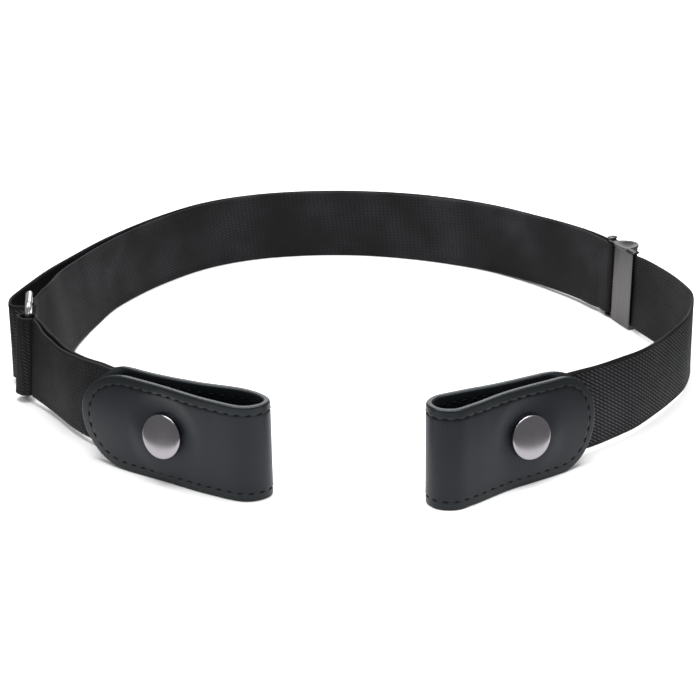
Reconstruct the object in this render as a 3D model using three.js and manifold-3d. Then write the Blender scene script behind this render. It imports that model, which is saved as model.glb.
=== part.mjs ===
// A stretch belt with no buckle: an elastic loop, open at the front, whose two leather tabs snap
// round trouser loops. It stands on its lower edge. Millimetres, +Z up, the wearer's front at -Y.

import * as THREE from "three";
import { mergeVertices } from "three/addons/utils/BufferGeometryUtils.js";
import Module from "manifold-3d";

const wasm = await Module();
wasm.setup();

// Driving dimensions
const STRAP_WIDTH = 30.4;
const STRAP_THICKNESS = 1.2;
const TAB_HEIGHT = 34.6;
const LEATHER = 2.5; // two plies sewn together
const PLY = 1.1; // one ply where the strap's end lies between them
const POCKET_DEPTH = 14;
const SNAP_DIAMETER = 15;
const RING_WIRE = 2.6;
const RING_HEIGHT = 38;
const CLIP_LENGTH = 15;
const SHEET = 0.9; // the clip's sheet metal
const GAP = 0.3; // clearance between neighbouring pieces

// The middle of the belt's outline, seen from above, in the frame of the tables below
const MIDDLE = { x: 0.28, y: 0.15 };

const MID_HEIGHT = TAB_HEIGHT / 2;
const HALF_STRAP = STRAP_THICKNESS / 2;

// How the belt stands, by bearing round the loop in degrees from +X. Lean is the tilt of the top
// towards the middle of the loop, and lift is how far the strap's middle is above the tabs' middle.
const STANCE = [
  { bearing: -80, lean: 4, lift: 0 },
  { bearing: -62, lean: 4, lift: 0 },
  { bearing: -50, lean: 2, lift: 0 },
  { bearing: -40, lean: 0, lift: 0 },
  { bearing: -30, lean: -2, lift: -0.2 },
  { bearing: -5, lean: 1.4, lift: -0.3 },
  { bearing: 8, lean: -4.5, lift: -0.3 },
  { bearing: 13, lean: -4, lift: -0.3 },
  { bearing: 17, lean: 0, lift: -0.3 },
  { bearing: 24, lean: 0, lift: -0.4 },
  { bearing: 31, lean: -3, lift: -0.5 },
  { bearing: 40, lean: -2, lift: -0.8 },
  { bearing: 50, lean: 0, lift: -1.3 },
  { bearing: 75, lean: -1, lift: -2 },
  { bearing: 90, lean: 0, lift: -2 },
  { bearing: 160, lean: 0, lift: -2 },
  { bearing: 190, lean: -1.8, lift: -0.4 },
];
const RING_STANCE = [{ bearing: 0, lean: 4.5, lift: (RING_HEIGHT - TAB_HEIGHT) / 2 }];
const FRONT_LEFT_STANCE = [
  { bearing: 199, lean: 4.5, lift: 0.8 },
  { bearing: 206, lean: -2, lift: 0 },
  { bearing: 213, lean: -4, lift: 0 },
  { bearing: 222, lean: -1, lift: 0 },
  { bearing: 232, lean: 1, lift: 0 },
  { bearing: 258, lean: -3, lift: 0 },
];

// The outer face of the long strap, from the right tab to the ring. Depth is the distance from
// that face to the inner face of the second layer, where there is one, and splay is how much
// further in that layer stands at its foot than at its middle.
const LOOP = [
  { x: 84.3, y: -84.4 },
  { x: 93.8, y: -76.5 },
  { x: 101.7, y: -69.1 },
  { x: 112.8, y: -54.2 },
  { x: 118.6, y: -45.1 },
  { x: 125.1, y: -32.8 },
  { x: 130.4, y: -10.9 },
  { x: 128.4, y: 0.4 },
  { x: 121.3, y: 19.5 },
  { x: 115.6, y: 32.8 },
  { x: 112.3, y: 40.7 },
  { x: 110.7, y: 51.1 },
  { x: 106.6, y: 56.4, depth: 3.6, splay: 0 },
  { x: 99.4, y: 67.6, depth: 3, splay: 0 },
  { x: 90.5, y: 79, depth: 2.8, splay: 0 },
  { x: 81.6, y: 89.2, depth: 2.8, splay: 0 },
  { x: 62.2, y: 107.4, depth: 2.9, splay: 0 },
  { x: 41.5, y: 119.7, depth: 3.6, splay: 0 },
  { x: 20, y: 126.8, depth: 3.3, splay: 0 },
  { x: -1.9, y: 129.8, depth: 2.9, splay: 0 },
  { x: -23.8, y: 128.8, depth: 2.9, splay: 0 },
  { x: -45.4, y: 123.4, depth: 2.9, splay: 0 },
  { x: -66.3, y: 111.6, depth: 3.2, splay: 0 },
  { x: -85.6, y: 90.4, depth: 3.6, splay: 0 },
  { x: -103, y: 63, depth: 4.7, splay: 0.3 },
  { x: -114.3, y: 39, depth: 7.2, splay: 1.9 },
  { x: -121.4, y: 19.9, depth: 9.4, splay: 2.7 },
  { x: -127, y: -2.5, depth: 12, splay: 2.8 },
  { x: -129.2, y: -12, depth: 11.2, splay: 1 },
];

// Where the long strap turns round the ring's rear bar: the middle of its thickness
const RING_BULGE = [
  { x: -129.3, y: -17.5 },
  { x: -128.2, y: -23.8 },
];
const RING_RETURN = [{ x: -119.9, y: -17.5 }];

// The ring's two upright bars, seen from above, and the short strap's looser turn round the front one
const REAR_BAR = { x: -122.4, y: -23.4 };
const FRONT_BAR = { x: -120.3, y: -37.6 };
const FRONT_TURN = { x: -121.1, y: -37.9, radius: 3 };

// The clip stands on the strap's outer face, turned to the way the strap runs through it
const CLIP_PLACE = { x: 112.7, y: 39.7, turn: THREE.MathUtils.degToRad(112.4) };

// The short strap: the line between its two layers, and the gap between them
const SHORT_STRAP = [
  { x: -92.3, y: -77.3, gap: 0.3 },
  { x: -100.3, y: -68, gap: 0.9 },
  { x: -107, y: -57, gap: 1.2 },
  { x: -117.4, y: -41.4, gap: 0.3 },
];

// The outside of each folded tab: the flap's tip, the fold and the back half's end
const LEFT_TAB = [
  { x: -93.6, y: -87.1 },
  { x: -82, y: -96.5 },
  { x: -64.4, y: -107.8 },
  { x: -47.5, y: -118.9 },
  { x: -35.2, y: -124.2 },
  { x: -28.7, y: -121.7 },
  { x: -26.6, y: -117.5 },
  { x: -28.6, y: -112.8 },
  { x: -35.3, y: -107.6 },
  { x: -51.6, y: -102.2 },
  { x: -68.5, y: -94.4 },
  { x: -80.5, y: -85.9 },
  { x: -89, y: -77.6 },
];
const RIGHT_TAB = [
  { x: 83, y: -92.3 },
  { x: 69.6, y: -102.1 },
  { x: 52, y: -113.7 },
  { x: 40, y: -123.9 },
  { x: 33.4, y: -128.3 },
  { x: 27, y: -127.5 },
  { x: 23.6, y: -122 },
  { x: 26, y: -116 },
  { x: 33.7, y: -111.5 },
  { x: 48, y: -104.8 },
  { x: 63.8, y: -95.7 },
  { x: 79.8, y: -85 },
];

// Plain helpers for lengths and rows
const ease = (t) => t * t * (3 - 2 * t);

// The value of a column between the rows of a table, on a smooth curve without overshoot
function rowValue(rows, column, key, place) {
  const last = rows.length - 1;
  if (place <= rows[0][column]) return rows[0][key];
  if (place >= rows[last][column]) return rows[last][key];
  const run = (i) => rows[i + 1][column] - rows[i][column];
  const slope = (i) => (rows[i + 1][key] - rows[i][key]) / run(i);
  const slopeAt = (i) => {
    if (i === 0 || i === last) return 0;
    const turns = slope(i - 1) * slope(i) <= 0;
    return turns ? 0 : (2 * slope(i - 1) * slope(i)) / (slope(i - 1) + slope(i));
  };
  const after = rows.findIndex((row) => row[column] > place);
  const before = after - 1;
  const share = (place - rows[before][column]) / run(before);
  const curve = (1 - share) * slopeAt(before) - share * slopeAt(after);
  const level = THREE.MathUtils.lerp(rows[before][key], rows[after][key], ease(share));
  return level + run(before) * share * (1 - share) * curve;
}

// Leans and lifts a point of the plan: z is its height above the foot of a tab
function stand(x, y, z, stance = STANCE, extraLean = 0) {
  let bearing = THREE.MathUtils.radToDeg(Math.atan2(y, x));
  if (bearing < -90) bearing += 360;
  const lean = THREE.MathUtils.degToRad(rowValue(stance, "bearing", "lean", bearing) + extraLean);
  const lift = rowValue(stance, "bearing", "lift", bearing);
  const inward = 1 - (Math.tan(lean) * (z - MID_HEIGHT)) / Math.hypot(x, y);
  return new THREE.Vector3(x * inward, y * inward, z + lift);
}

// A smooth line through plan points, measured by its length. Side is 1 where the thickness of
// what follows it lies to the left of the line's direction, and -1 where it lies to the right.
function planLine(points, side = 1) {
  const knots = points.map((point) => new THREE.Vector3(point.x, point.y, 0));
  const curve = new THREE.CatmullRomCurve3(knots, false, "centripetal");
  curve.arcLengthDivisions = 60 * points.length;
  const length = curve.getLength();
  const at = (distance, offset = 0) => {
    const share = THREE.MathUtils.clamp(distance / length, 0, 1);
    const point = curve.getPointAt(share);
    const along = curve.getTangentAt(share);
    return {
      x: point.x - along.y * offset * side,
      y: point.y + along.x * offset * side,
      along: { x: along.x, y: along.y },
    };
  };
  const distanceTo = (point) => {
    let best = 0;
    let nearest = Infinity;
    for (let distance = 0; distance <= length; distance += 0.25) {
      const here = at(distance);
      const away = Math.hypot(here.x - point.x, here.y - point.y);
      if (away < nearest) {
        nearest = away;
        best = distance;
      }
    }
    return best;
  };
  return { length, at, distanceTo };
}

// Distances from one place on a line to another, at most a step apart
function stations(from, to, step) {
  const count = Math.max(1, Math.ceil(Math.abs(to - from) / step));
  return Array.from({ length: count + 1 }, (_, i) => from + ((to - from) * i) / count);
}

// Points of an arc seen from above, with a whole number of segments
function arc(centre, radius, fromAngle, toAngle, segments) {
  return Array.from({ length: segments + 1 }, (_, i) => {
    const angle = fromAngle + ((toAngle - fromAngle) * i) / segments;
    return { x: centre.x + radius * Math.cos(angle), y: centre.y + radius * Math.sin(angle) };
  });
}

// One closed body through rings of points. Each ring holds its points in the same order, which is
// counter-clockwise seen from the next ring. A closed loft joins the last ring to the first.
function loft(rings, closed = false) {
  const size = rings[0].length;
  const positions = rings.flat().flatMap((point) => [point.x, point.y, point.z]);
  const faces = [];
  const joins = closed ? rings.length : rings.length - 1;
  for (let r = 0; r < joins; r += 1) {
    const here = r * size;
    const next = ((r + 1) % rings.length) * size;
    for (let i = 0; i < size; i += 1) {
      const j = (i + 1) % size;
      faces.push(here + i, here + j, next + j, here + i, next + j, next + i);
    }
  }
  if (!closed) {
    const end = (rings.length - 1) * size;
    for (let i = 1; i < size - 1; i += 1) {
      faces.push(0, i + 1, i);
      faces.push(end, end + i, end + i + 1);
    }
  }
  const geometry = new THREE.BufferGeometry();
  geometry.setAttribute("position", new THREE.Float32BufferAttribute(positions, 3));
  geometry.setIndex(faces);
  geometry.computeVertexNormals();
  return geometry;
}

// A standing band of even thickness: path holds the middle of the thickness, seen from above. A
// point's splay moves its foot to the left of the path and its top to the right, its lean adds to
// the stance's own, and its tuck is how far its lower edge is pushed up.
function band(path, thickness, low, high, stance) {
  const rings = path.map((point, i) => {
    const before = path[Math.max(0, i - 1)];
    const after = path[Math.min(path.length - 1, i + 1)];
    const length = Math.hypot(after.x - before.x, after.y - before.y);
    const leftX = -(after.y - before.y) / length;
    const leftY = (after.x - before.x) / length;
    const corner = (side, z) => {
      const splay = z < MID_HEIGHT ? point.splay : -point.splay;
      const aside = (side * thickness) / 2 + (splay || 0);
      const height = z < MID_HEIGHT ? z + (point.tuck || 0) : z;
      return stand(point.x + leftX * aside, point.y + leftY * aside, height, stance, point.lean);
    };
    return [corner(1, low), corner(1, high), corner(-1, high), corner(-1, low)];
  });
  return loft(rings);
}

// Booleans
function toSolid(geometry) {
  const bare = geometry.clone();
  bare.deleteAttribute("normal");
  bare.deleteAttribute("uv");
  const merged = mergeVertices(bare, 1e-4);
  const mesh = new wasm.Mesh({
    numProp: 3,
    vertProperties: merged.attributes.position.array,
    triVerts: new Uint32Array(merged.index.array),
  });
  return new wasm.Manifold(mesh);
}

function toGeometry(solid) {
  const mesh = solid.getMesh();
  const geometry = new THREE.BufferGeometry();
  geometry.setAttribute("position", new THREE.BufferAttribute(mesh.vertProperties, 3));
  geometry.setIndex(new THREE.BufferAttribute(mesh.triVerts, 1));
  geometry.computeVertexNormals();
  return geometry;
}

function join(...geometries) {
  return toGeometry(geometries.map(toSolid).reduce((whole, piece) => whole.add(piece)));
}

function cut(geometry, ...tools) {
  return toGeometry(tools.map(toSolid).reduce((rest, tool) => rest.subtract(tool), toSolid(geometry)));
}

// An upright prism of a plan shape
function prism(shape, low, high, curveSegments = 8) {
  const geometry = new THREE.ExtrudeGeometry(shape, {
    depth: high - low,
    bevelEnabled: false,
    curveSegments,
  });
  return geometry.translate(0, 0, low);
}

function post(x, y, radius, low, high, sides = 16) {
  const geometry = new THREE.CylinderGeometry(radius, radius, high - low, sides);
  return geometry.rotateX(Math.PI / 2).translate(x, y, (low + high) / 2);
}

// Where the straps meet the tabs: their lines start inside the pockets
const leftTabLine = planLine(LEFT_TAB, 1);
const rightTabLine = planLine(RIGHT_TAB, -1);
const LEFT = {
  line: leftTabLine,
  side: 1,
  fold: LEFT_TAB[6],
  snapFromFold: 44,
  layers: 2,
  stance: FRONT_LEFT_STANCE,
  tip: { round: 22, lift: -0.6 },
  end: { round: 20, lift: -0.5 },
};
const RIGHT = {
  line: rightTabLine,
  side: -1,
  fold: RIGHT_TAB[6],
  snapFromFold: 45,
  layers: 1,
  stance: STANCE,
  tip: { round: 15.5, lift: -0.2 },
  end: { round: 20, lift: 0.9 },
};
const STRAP_LOW = MID_HEIGHT - STRAP_WIDTH / 2;
const STRAP_HIGH = MID_HEIGHT + STRAP_WIDTH / 2;

function pocketPoints(tabLine, offset) {
  const bottom = tabLine.length - POCKET_DEPTH + GAP;
  const mouth = tabLine.length - POCKET_DEPTH / 3;
  return stations(bottom, mouth, POCKET_DEPTH / 3).map((d) => tabLine.at(d, offset));
}

const loopLine = planLine([...pocketPoints(rightTabLine, LEATHER / 2 + HALF_STRAP), ...LOOP]);
const shortLine = planLine([...pocketPoints(leftTabLine, LEATHER / 2), ...SHORT_STRAP, FRONT_TURN]);
const LONG_STEP = 6;
const FINE_STEP = 3;
const SHORT_STEP = 2;

const layerRows = LOOP.filter((row) => row.depth).map((row) => ({
  distance: loopLine.distanceTo(row),
  depth: row.depth,
  splay: row.splay,
}));

// The long strap's turn round the ring's rear bar
const WRAP_RADIUS = RING_WIRE / 2 + GAP + HALF_STRAP;
const RING_LEAN = RING_STANCE[0].lean - STANCE[STANCE.length - 1].lean;
const RING_TUCK = 1.4; // the ring's lower rod pushes the strap's lower edge up
const ringTurn = arc(REAR_BAR, WRAP_RADIUS, -Math.PI * 0.6, Math.PI * 0.02, 6).map((point) => ({
  ...point,
  lean: RING_LEAN,
  tuck: RING_TUCK,
}));

// The clip's own frame: X along the strap towards the back, Y inwards, the strap's outer face at Y = 0
const BAR_RADIUS = 0.6;
const BAR_HEAD = { radius: 1.6, tall: 0.8 };
const ARM_END = 1.5;
const PIN_GAP = 0.2;
const TONGUE_INSET = 2.5;
const PLATE_FACE = STRAP_THICKNESS + GAP + SHEET + 0.1;
const LOOP_RADIUS = BAR_RADIUS + PIN_GAP + HALF_STRAP;
const SEWN_LAP = 2.1; // the strap's sewn end reaches this far back from the bar
const SEWN_RISE = 0.5;
const BAR = {
  x: CLIP_LENGTH / 2 + 3.8,
  y: PLATE_FACE + 0.4 - LOOP_RADIUS - HALF_STRAP,
};
const fromClip = (x, y) => ({
  x: CLIP_PLACE.x + x * Math.cos(CLIP_PLACE.turn) - y * Math.sin(CLIP_PLACE.turn),
  y: CLIP_PLACE.y + x * Math.sin(CLIP_PLACE.turn) + y * Math.cos(CLIP_PLACE.turn),
});

function longStrapPath() {
  const clipStart = loopLine.distanceTo(fromClip(-CLIP_LENGTH / 2, 0));
  const barPlace = fromClip(BAR.x, BAR.y);
  const barDistance = loopLine.distanceTo(barPlace);
  const outer = [
    ...stations(0, clipStart - LONG_STEP, LONG_STEP),
    ...stations(clipStart - FINE_STEP, barDistance + LONG_STEP, FINE_STEP),
    ...stations(barDistance + 2 * LONG_STEP, loopLine.length, LONG_STEP),
  ].map((d) => loopLine.at(d, HALF_STRAP));

  const turn = planLine([outer[outer.length - 1], ...RING_BULGE, ringTurn[0]]);
  const bulge = stations(0, turn.length, FINE_STEP).slice(1, -1).map((d) => ({
    ...turn.at(d),
    lean: RING_LEAN * (d / turn.length) ** 2,
    tuck: RING_TUCK * (d / turn.length),
  }));

  const innerPoint = (d) => ({
    ...loopLine.at(d, rowValue(layerRows, "distance", "depth", d) - HALF_STRAP),
    splay: -rowValue(layerRows, "distance", "splay", d),
  });
  const inner = stations(loopLine.length, barDistance + LONG_STEP, LONG_STEP).map(innerPoint);
  const back = planLine([ringTurn[ringTurn.length - 1], ...RING_RETURN, inner[0]]);
  const wave = stations(0, back.length, FINE_STEP).slice(1, -1).map((d) => ({
    ...back.at(d),
    lean: RING_LEAN * (1 - d / back.length),
    tuck: RING_TUCK * (1 - d / back.length),
    splay: (inner[0].splay * d) / back.length,
  }));

  const inward = CLIP_PLACE.turn + Math.PI / 2;
  const barTurn = arc(barPlace, LOOP_RADIUS, inward, inward + Math.PI, 8);
  const beside = BAR.x + SEWN_LAP;
  const approach = planLine([inner[inner.length - 1], fromClip(beside, BAR.y + LOOP_RADIUS), barTurn[0]]);
  const toBar = stations(0, approach.length, SHORT_STEP).slice(1, -1).map((d) => approach.at(d));
  const sewnEnd = [fromClip(beside, BAR.y - LOOP_RADIUS + SEWN_RISE)];
  return [...outer, ...bulge, ...ringTurn, ...wave, ...inner, ...toBar, ...barTurn, ...sewnEnd];
}

const mainStrap = band(longStrapPath(), STRAP_THICKNESS, STRAP_LOW, STRAP_HIGH);

// The short strap: along one side of its middle line, round the ring's front bar and back
function shortStrapPath() {
  const rows = [
    ...SHORT_STRAP.map((row) => ({
      distance: shortLine.distanceTo(row),
      half: HALF_STRAP + row.gap / 2,
    })),
    { distance: shortLine.length - FRONT_TURN.radius / 2, half: FRONT_TURN.radius },
  ];
  const turnEnd = shortLine.length - SHORT_STEP;
  const places = [
    ...stations(0, turnEnd - 3 * FINE_STEP, LONG_STEP),
    ...stations(turnEnd - 2 * FINE_STEP, turnEnd, SHORT_STEP),
  ];
  const side = (sign) =>
    places.map((d) => shortLine.at(d, sign * rowValue(rows, "distance", "half", d)));
  const end = shortLine.at(shortLine.length);
  const heading = Math.atan2(end.along.y, end.along.x);
  const turn = arc(FRONT_TURN, FRONT_TURN.radius, heading - Math.PI / 2, heading + Math.PI / 2, 8);
  return [...side(-1), ...turn, ...side(1).reverse()];
}

const shortStrap = band(shortStrapPath(), STRAP_THICKNESS, STRAP_LOW, STRAP_HIGH, FRONT_LEFT_STANCE);

// A tab: a strip with rounded ends, folded round, fuller where the strap's end lies in it
const RIM = 1.6;
const SWELL_RUN = 4;
const BLUNT = 1.2; // half height of the flat at the middle of a rounded end

function roundedHalf(fromEnd, round) {
  const short = Math.max(0, 1 - fromEnd / round);
  return Math.max(BLUNT, (TAB_HEIGHT / 2) * Math.sqrt(1 - short * short));
}

function tab({ line, side, layers, stance, tip, end }) {
  const filling = layers * STRAP_THICKNESS + (layers + 1) * GAP + 2 * PLY - LEATHER;
  const quarter = stations(0, Math.PI / 2, Math.PI / 16).map((angle) => 1 - Math.cos(angle));
  const places = [
    ...quarter.map((share) => share * tip.round),
    ...stations(tip.round, line.length - end.round, FINE_STEP).slice(1, -1),
    ...quarter.map((share) => line.length - share * end.round).reverse(),
  ];
  const rings = places.map((d) => {
    const fromEnd = line.length - d;
    const half = Math.min(roundedHalf(d, tip.round), roundedHalf(fromEnd, end.round));
    const lift =
      tip.lift * ease(Math.max(0, 1 - d / tip.round)) +
      end.lift * ease(Math.max(0, 1 - fromEnd / end.round));
    const into = (d - (line.length - POCKET_DEPTH - SWELL_RUN)) / SWELL_RUN;
    const swell = (filling / 2) * ease(THREE.MathUtils.clamp(into, 0, 1));
    const rim = Math.min(RIM, half / 3);
    const point = (offset, z) => {
      const place = line.at(d, offset);
      return stand(place.x, place.y, z + lift, stance);
    };
    const ring = [
      point(0, MID_HEIGHT - half),
      point(-swell, MID_HEIGHT - half + rim),
      point(-swell, MID_HEIGHT + half - rim),
      point(0, MID_HEIGHT + half),
      point(LEATHER, MID_HEIGHT + half),
      point(LEATHER + swell, MID_HEIGHT + half - rim),
      point(LEATHER + swell, MID_HEIGHT - half + rim),
      point(LEATHER, MID_HEIGHT - half),
    ];
    return side > 0 ? ring.reverse() : ring;
  });
  return loft(rings);
}

// A snap: its cap stands on the flap, and its stud on the back half, with the stud's ball on the
// cap's axis. Both heights count from the leather's own face.
const POST_HOLE = 2.2;
const BALL_DEPTH = LEATHER + 1.8;
const SOCKET_RADIUS = 4.9;
const MOUTH_RADIUS = 2.5;
const RIVET_RADIUS = 1.8;
const STUD_HEAD = 4.3;
const STUD_RIVET = 1.5;
const STUD_NECK = 1.7;
const BALL_RADIUS = 2.1;
const PAST_FOLD = 10; // the stud isn't looked for nearer the fold than this

// A place on a standing face. Its axis points along a direction of the plan, and follows the lean
// as the face does. Behind is how far in it lies behind the face whose middle height it takes.
function facePlace(point, direction, stance, behind = 0) {
  const foot = stand(point.x, point.y, MID_HEIGHT, stance);
  const above = stand(point.x, point.y, MID_HEIGHT + 1, stance);
  const rise = -(above.x - foot.x) * direction.x - (above.y - foot.y) * direction.y;
  const axis = new THREE.Vector3(direction.x, direction.y, rise).normalize();
  const face = stand(point.x, point.y, MID_HEIGHT - behind * rise, stance);
  return { face, turn: new THREE.Quaternion().setFromUnitVectors(new THREE.Vector3(0, 1, 0), axis) };
}

function snapPlaces({ line, side, fold: foldPoint, snapFromFold, stance }) {
  const fold = line.distanceTo(foldPoint);
  const outside = line.at(fold - snapFromFold);
  const outward = { x: side * outside.along.y, y: -side * outside.along.x };
  const ball = {
    x: outside.x - outward.x * BALL_DEPTH,
    y: outside.y - outward.y * BALL_DEPTH,
  };
  const backPoints = stations(fold + PAST_FOLD, line.length - POCKET_DEPTH, 0.25).map((d) => line.at(d));
  const away = (point) => Math.hypot(point.x - ball.x, point.y - ball.y);
  const foot = backPoints.reduce((best, point) => (away(point) < away(best) ? point : best));
  const rise = away(foot);
  const studAxis = { x: (ball.x - foot.x) / rise, y: (ball.y - foot.y) / rise };
  const stud = facePlace(foot, studAxis, stance, BALL_DEPTH + rise);
  return { cap: facePlace(outside, outward, stance), stud, rise };
}

function placed(geometry, place) {
  return geometry.applyQuaternion(place.turn).translate(place.face.x, place.face.y, place.face.z);
}

// Profiles as radius, then height above the leather's face
function lathe(profile, sides) {
  return new THREE.LatheGeometry(profile.map(([r, h]) => new THREE.Vector2(r, h)), sides);
}

function snapCap() {
  const rim = SNAP_DIAMETER / 2;
  const socket = -LEATHER - GAP;
  const mouth = socket - 1.8;
  const profile = [
    [0, socket - 0.6],
    [MOUTH_RADIUS, socket - 0.6],
    [MOUTH_RADIUS, mouth],
    [SOCKET_RADIUS - 0.5, mouth],
    [SOCKET_RADIUS, mouth + 0.5],
    [SOCKET_RADIUS, socket],
    [RIVET_RADIUS, socket],
    [RIVET_RADIUS, GAP],
    [rim - 0.5, GAP],
    [rim, GAP + 0.5],
    [rim, GAP + 1.2],
    [rim - 0.7, GAP + 1.9],
    [rim * 0.5, GAP + 2.5],
    [0, GAP + 2.7],
  ];
  return lathe(profile, 32);
}

function snapStud(rise) {
  const flange = LEATHER + GAP;
  const profile = [
    [0, -GAP - 1.2],
    [STUD_HEAD * 0.75, -GAP - 1],
    [STUD_HEAD, -GAP - 0.5],
    [STUD_HEAD, -GAP],
    [STUD_RIVET, -GAP],
    [STUD_RIVET, flange],
    [STUD_HEAD, flange],
    [STUD_HEAD, flange + 0.6],
    [STUD_NECK, flange + 0.8],
    [STUD_NECK, rise - 0.4],
    [BALL_RADIUS, rise],
    [STUD_NECK, rise + 0.4],
    [0, rise + 0.5],
  ];
  return lathe(profile, 24);
}

const leftSnap = snapPlaces(LEFT);
const rightSnap = snapPlaces(RIGHT);

function snapHoles(snap) {
  const bore = (low, high) =>
    new THREE.CylinderGeometry(POST_HOLE, POST_HOLE, high - low, 20).translate(0, (low + high) / 2, 0);
  return [placed(bore(-LEATHER - 1, 1), snap.cap), placed(bore(-1, LEATHER + 1), snap.stud)];
}

// The pocket is the strap's own end with clearance all round, run out past the tab's end
function pocket(strapLine, offset, { layers, stance }) {
  const path = stations(0, POCKET_DEPTH + 8, FINE_STEP).map((d) => strapLine.at(d, offset));
  const first = path[0];
  path.unshift({ x: first.x - first.along.x * GAP, y: first.y - first.along.y * GAP });
  const width = layers * STRAP_THICKNESS + (layers + 1) * GAP;
  return band(path, width, STRAP_LOW - GAP, STRAP_HIGH + GAP, stance);
}

const leftTab = cut(tab(LEFT), pocket(shortLine, 0, LEFT), ...snapHoles(leftSnap));
const rightTab = cut(tab(RIGHT), pocket(loopLine, HALF_STRAP, RIGHT), ...snapHoles(rightSnap));

// The ring: a round wire bent to an upright rectangle through both bars
function ring() {
  const corner = 2;
  const along = { x: FRONT_BAR.x - REAR_BAR.x, y: FRONT_BAR.y - REAR_BAR.y };
  const reach = Math.hypot(along.x, along.y);
  const top = RING_HEIGHT / 2 - RING_WIRE / 2;
  const middle = { x: (REAR_BAR.x + FRONT_BAR.x) / 2, y: (REAR_BAR.y + FRONT_BAR.y) / 2 };
  const corners = [
    { u: reach / 2, v: top, from: 0 },
    { u: -reach / 2, v: top, from: Math.PI / 2 },
    { u: -reach / 2, v: -top, from: Math.PI },
    { u: reach / 2, v: -top, from: Math.PI * 1.5 },
  ];
  const rings = corners.flatMap(({ u, v, from }) =>
    stations(from, from + Math.PI / 2, Math.PI / 8).map((angle) => {
      const cu = u - Math.sign(u) * corner;
      const cv = v - Math.sign(v) * corner;
      return stations(0, Math.PI * 2, Math.PI / 5).slice(0, -1).map((round) => {
        const out = corner + (RING_WIRE / 2) * Math.cos(round);
        const aside = (RING_WIRE / 2) * Math.sin(round);
        const du = cu + out * Math.cos(angle);
        const dz = cv + out * Math.sin(angle);
        const x = middle.x + (along.x * du - along.y * aside) / reach;
        const y = middle.y + (along.y * du + along.x * aside) / reach;
        return stand(x, y, MID_HEIGHT + dz, RING_STANCE);
      });
    }),
  );
  return loft(rings, true);
}

// The clip, in its own frame. Its plate lies inside the strap and is folded outward above and below
// it, to a half-round ear and an arm that holds the bar.
const CLIP_TALL = STRAP_WIDTH + 3.4;
const PIVOT = { x: 2.4, y: PLATE_FACE - 6.6 };
const PIN_RADIUS = 0.7;
const EAR = { x: 2.8, half: 5.6, reach: 7.3 };
const ARM_ROOT = 3; // the arm grows out of this much of the plate's end
const ARM_NECK = 1.6;
const FOLD_RADIUS = 1;
const FLANGE = 1; // the folded edge outward of the bend
const HALF_CLIP = CLIP_LENGTH / 2;
const END_PLAY = 0.1; // how far the bar and pin end short of the plate's outsides

// A section drawn in Y and Z, run along X
function alongStrap(section, from, to) {
  const geometry = new THREE.ExtrudeGeometry(section, {
    depth: to - from,
    bevelEnabled: false,
    curveSegments: 5,
  });
  const turned = new THREE.Matrix4().set(0, 0, 1, from, 1, 0, 0, 0, 0, 1, 0, 0, 0, 0, 0, 1);
  return geometry.applyMatrix4(turned);
}

function clipPlate() {
  const back = PLATE_FACE - SHEET;
  const fold = PLATE_FACE - FOLD_RADIUS;
  const edge = fold - FLANGE;
  const section = new THREE.Shape();
  section.moveTo(edge, 0);
  section.lineTo(fold, 0);
  section.absarc(fold, FOLD_RADIUS, FOLD_RADIUS, -Math.PI / 2, 0, false);
  section.absarc(fold, CLIP_TALL - FOLD_RADIUS, FOLD_RADIUS, 0, Math.PI / 2, false);
  section.lineTo(edge, CLIP_TALL);
  section.lineTo(edge, CLIP_TALL - SHEET);
  section.lineTo(back, CLIP_TALL - SHEET);
  section.lineTo(back, SHEET);
  section.lineTo(edge, SHEET);
  const ear = new THREE.Shape();
  ear.absellipse(EAR.x, fold, EAR.half, EAR.reach, Math.PI, Math.PI * 2, false, 0);
  const arm = new THREE.Shape();
  arm.moveTo(HALF_CLIP - ARM_ROOT, fold - ARM_NECK);
  arm.lineTo(BAR.x, BAR.y - ARM_END);
  arm.absarc(BAR.x, BAR.y, ARM_END, -Math.PI / 2, Math.PI / 2, false);
  arm.lineTo(HALF_CLIP - ARM_ROOT, fold);
  const flats = [0, CLIP_TALL - SHEET].flatMap((low) => [
    prism(ear, low, low + SHEET, 14),
    prism(arm, low, low + SHEET, 6),
  ]);
  const holes = [
    post(PIVOT.x, PIVOT.y, PIN_RADIUS + PIN_GAP, -1, CLIP_TALL + 1),
    post(BAR.x, BAR.y, BAR_RADIUS + PIN_GAP, -1, CLIP_TALL + 1),
  ];
  return cut(join(alongStrap(section, -HALF_CLIP, HALF_CLIP), ...flats), ...holes);
}

function clipBar() {
  const seat = CLIP_TALL + PIN_GAP;
  const head = post(BAR.x, BAR.y, BAR_HEAD.radius, seat, seat + BAR_HEAD.tall);
  return join(post(BAR.x, BAR.y, BAR_RADIUS, END_PLAY, seat + BAR_HEAD.tall / 2), head);
}

// The lever's hub and teeth fill the clip's height. Its tongue is lower, and its lip bends outward.
const HUB_RADIUS = 1.6;
const LIP = { length: 3.7, rise: 1.2 };

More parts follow.
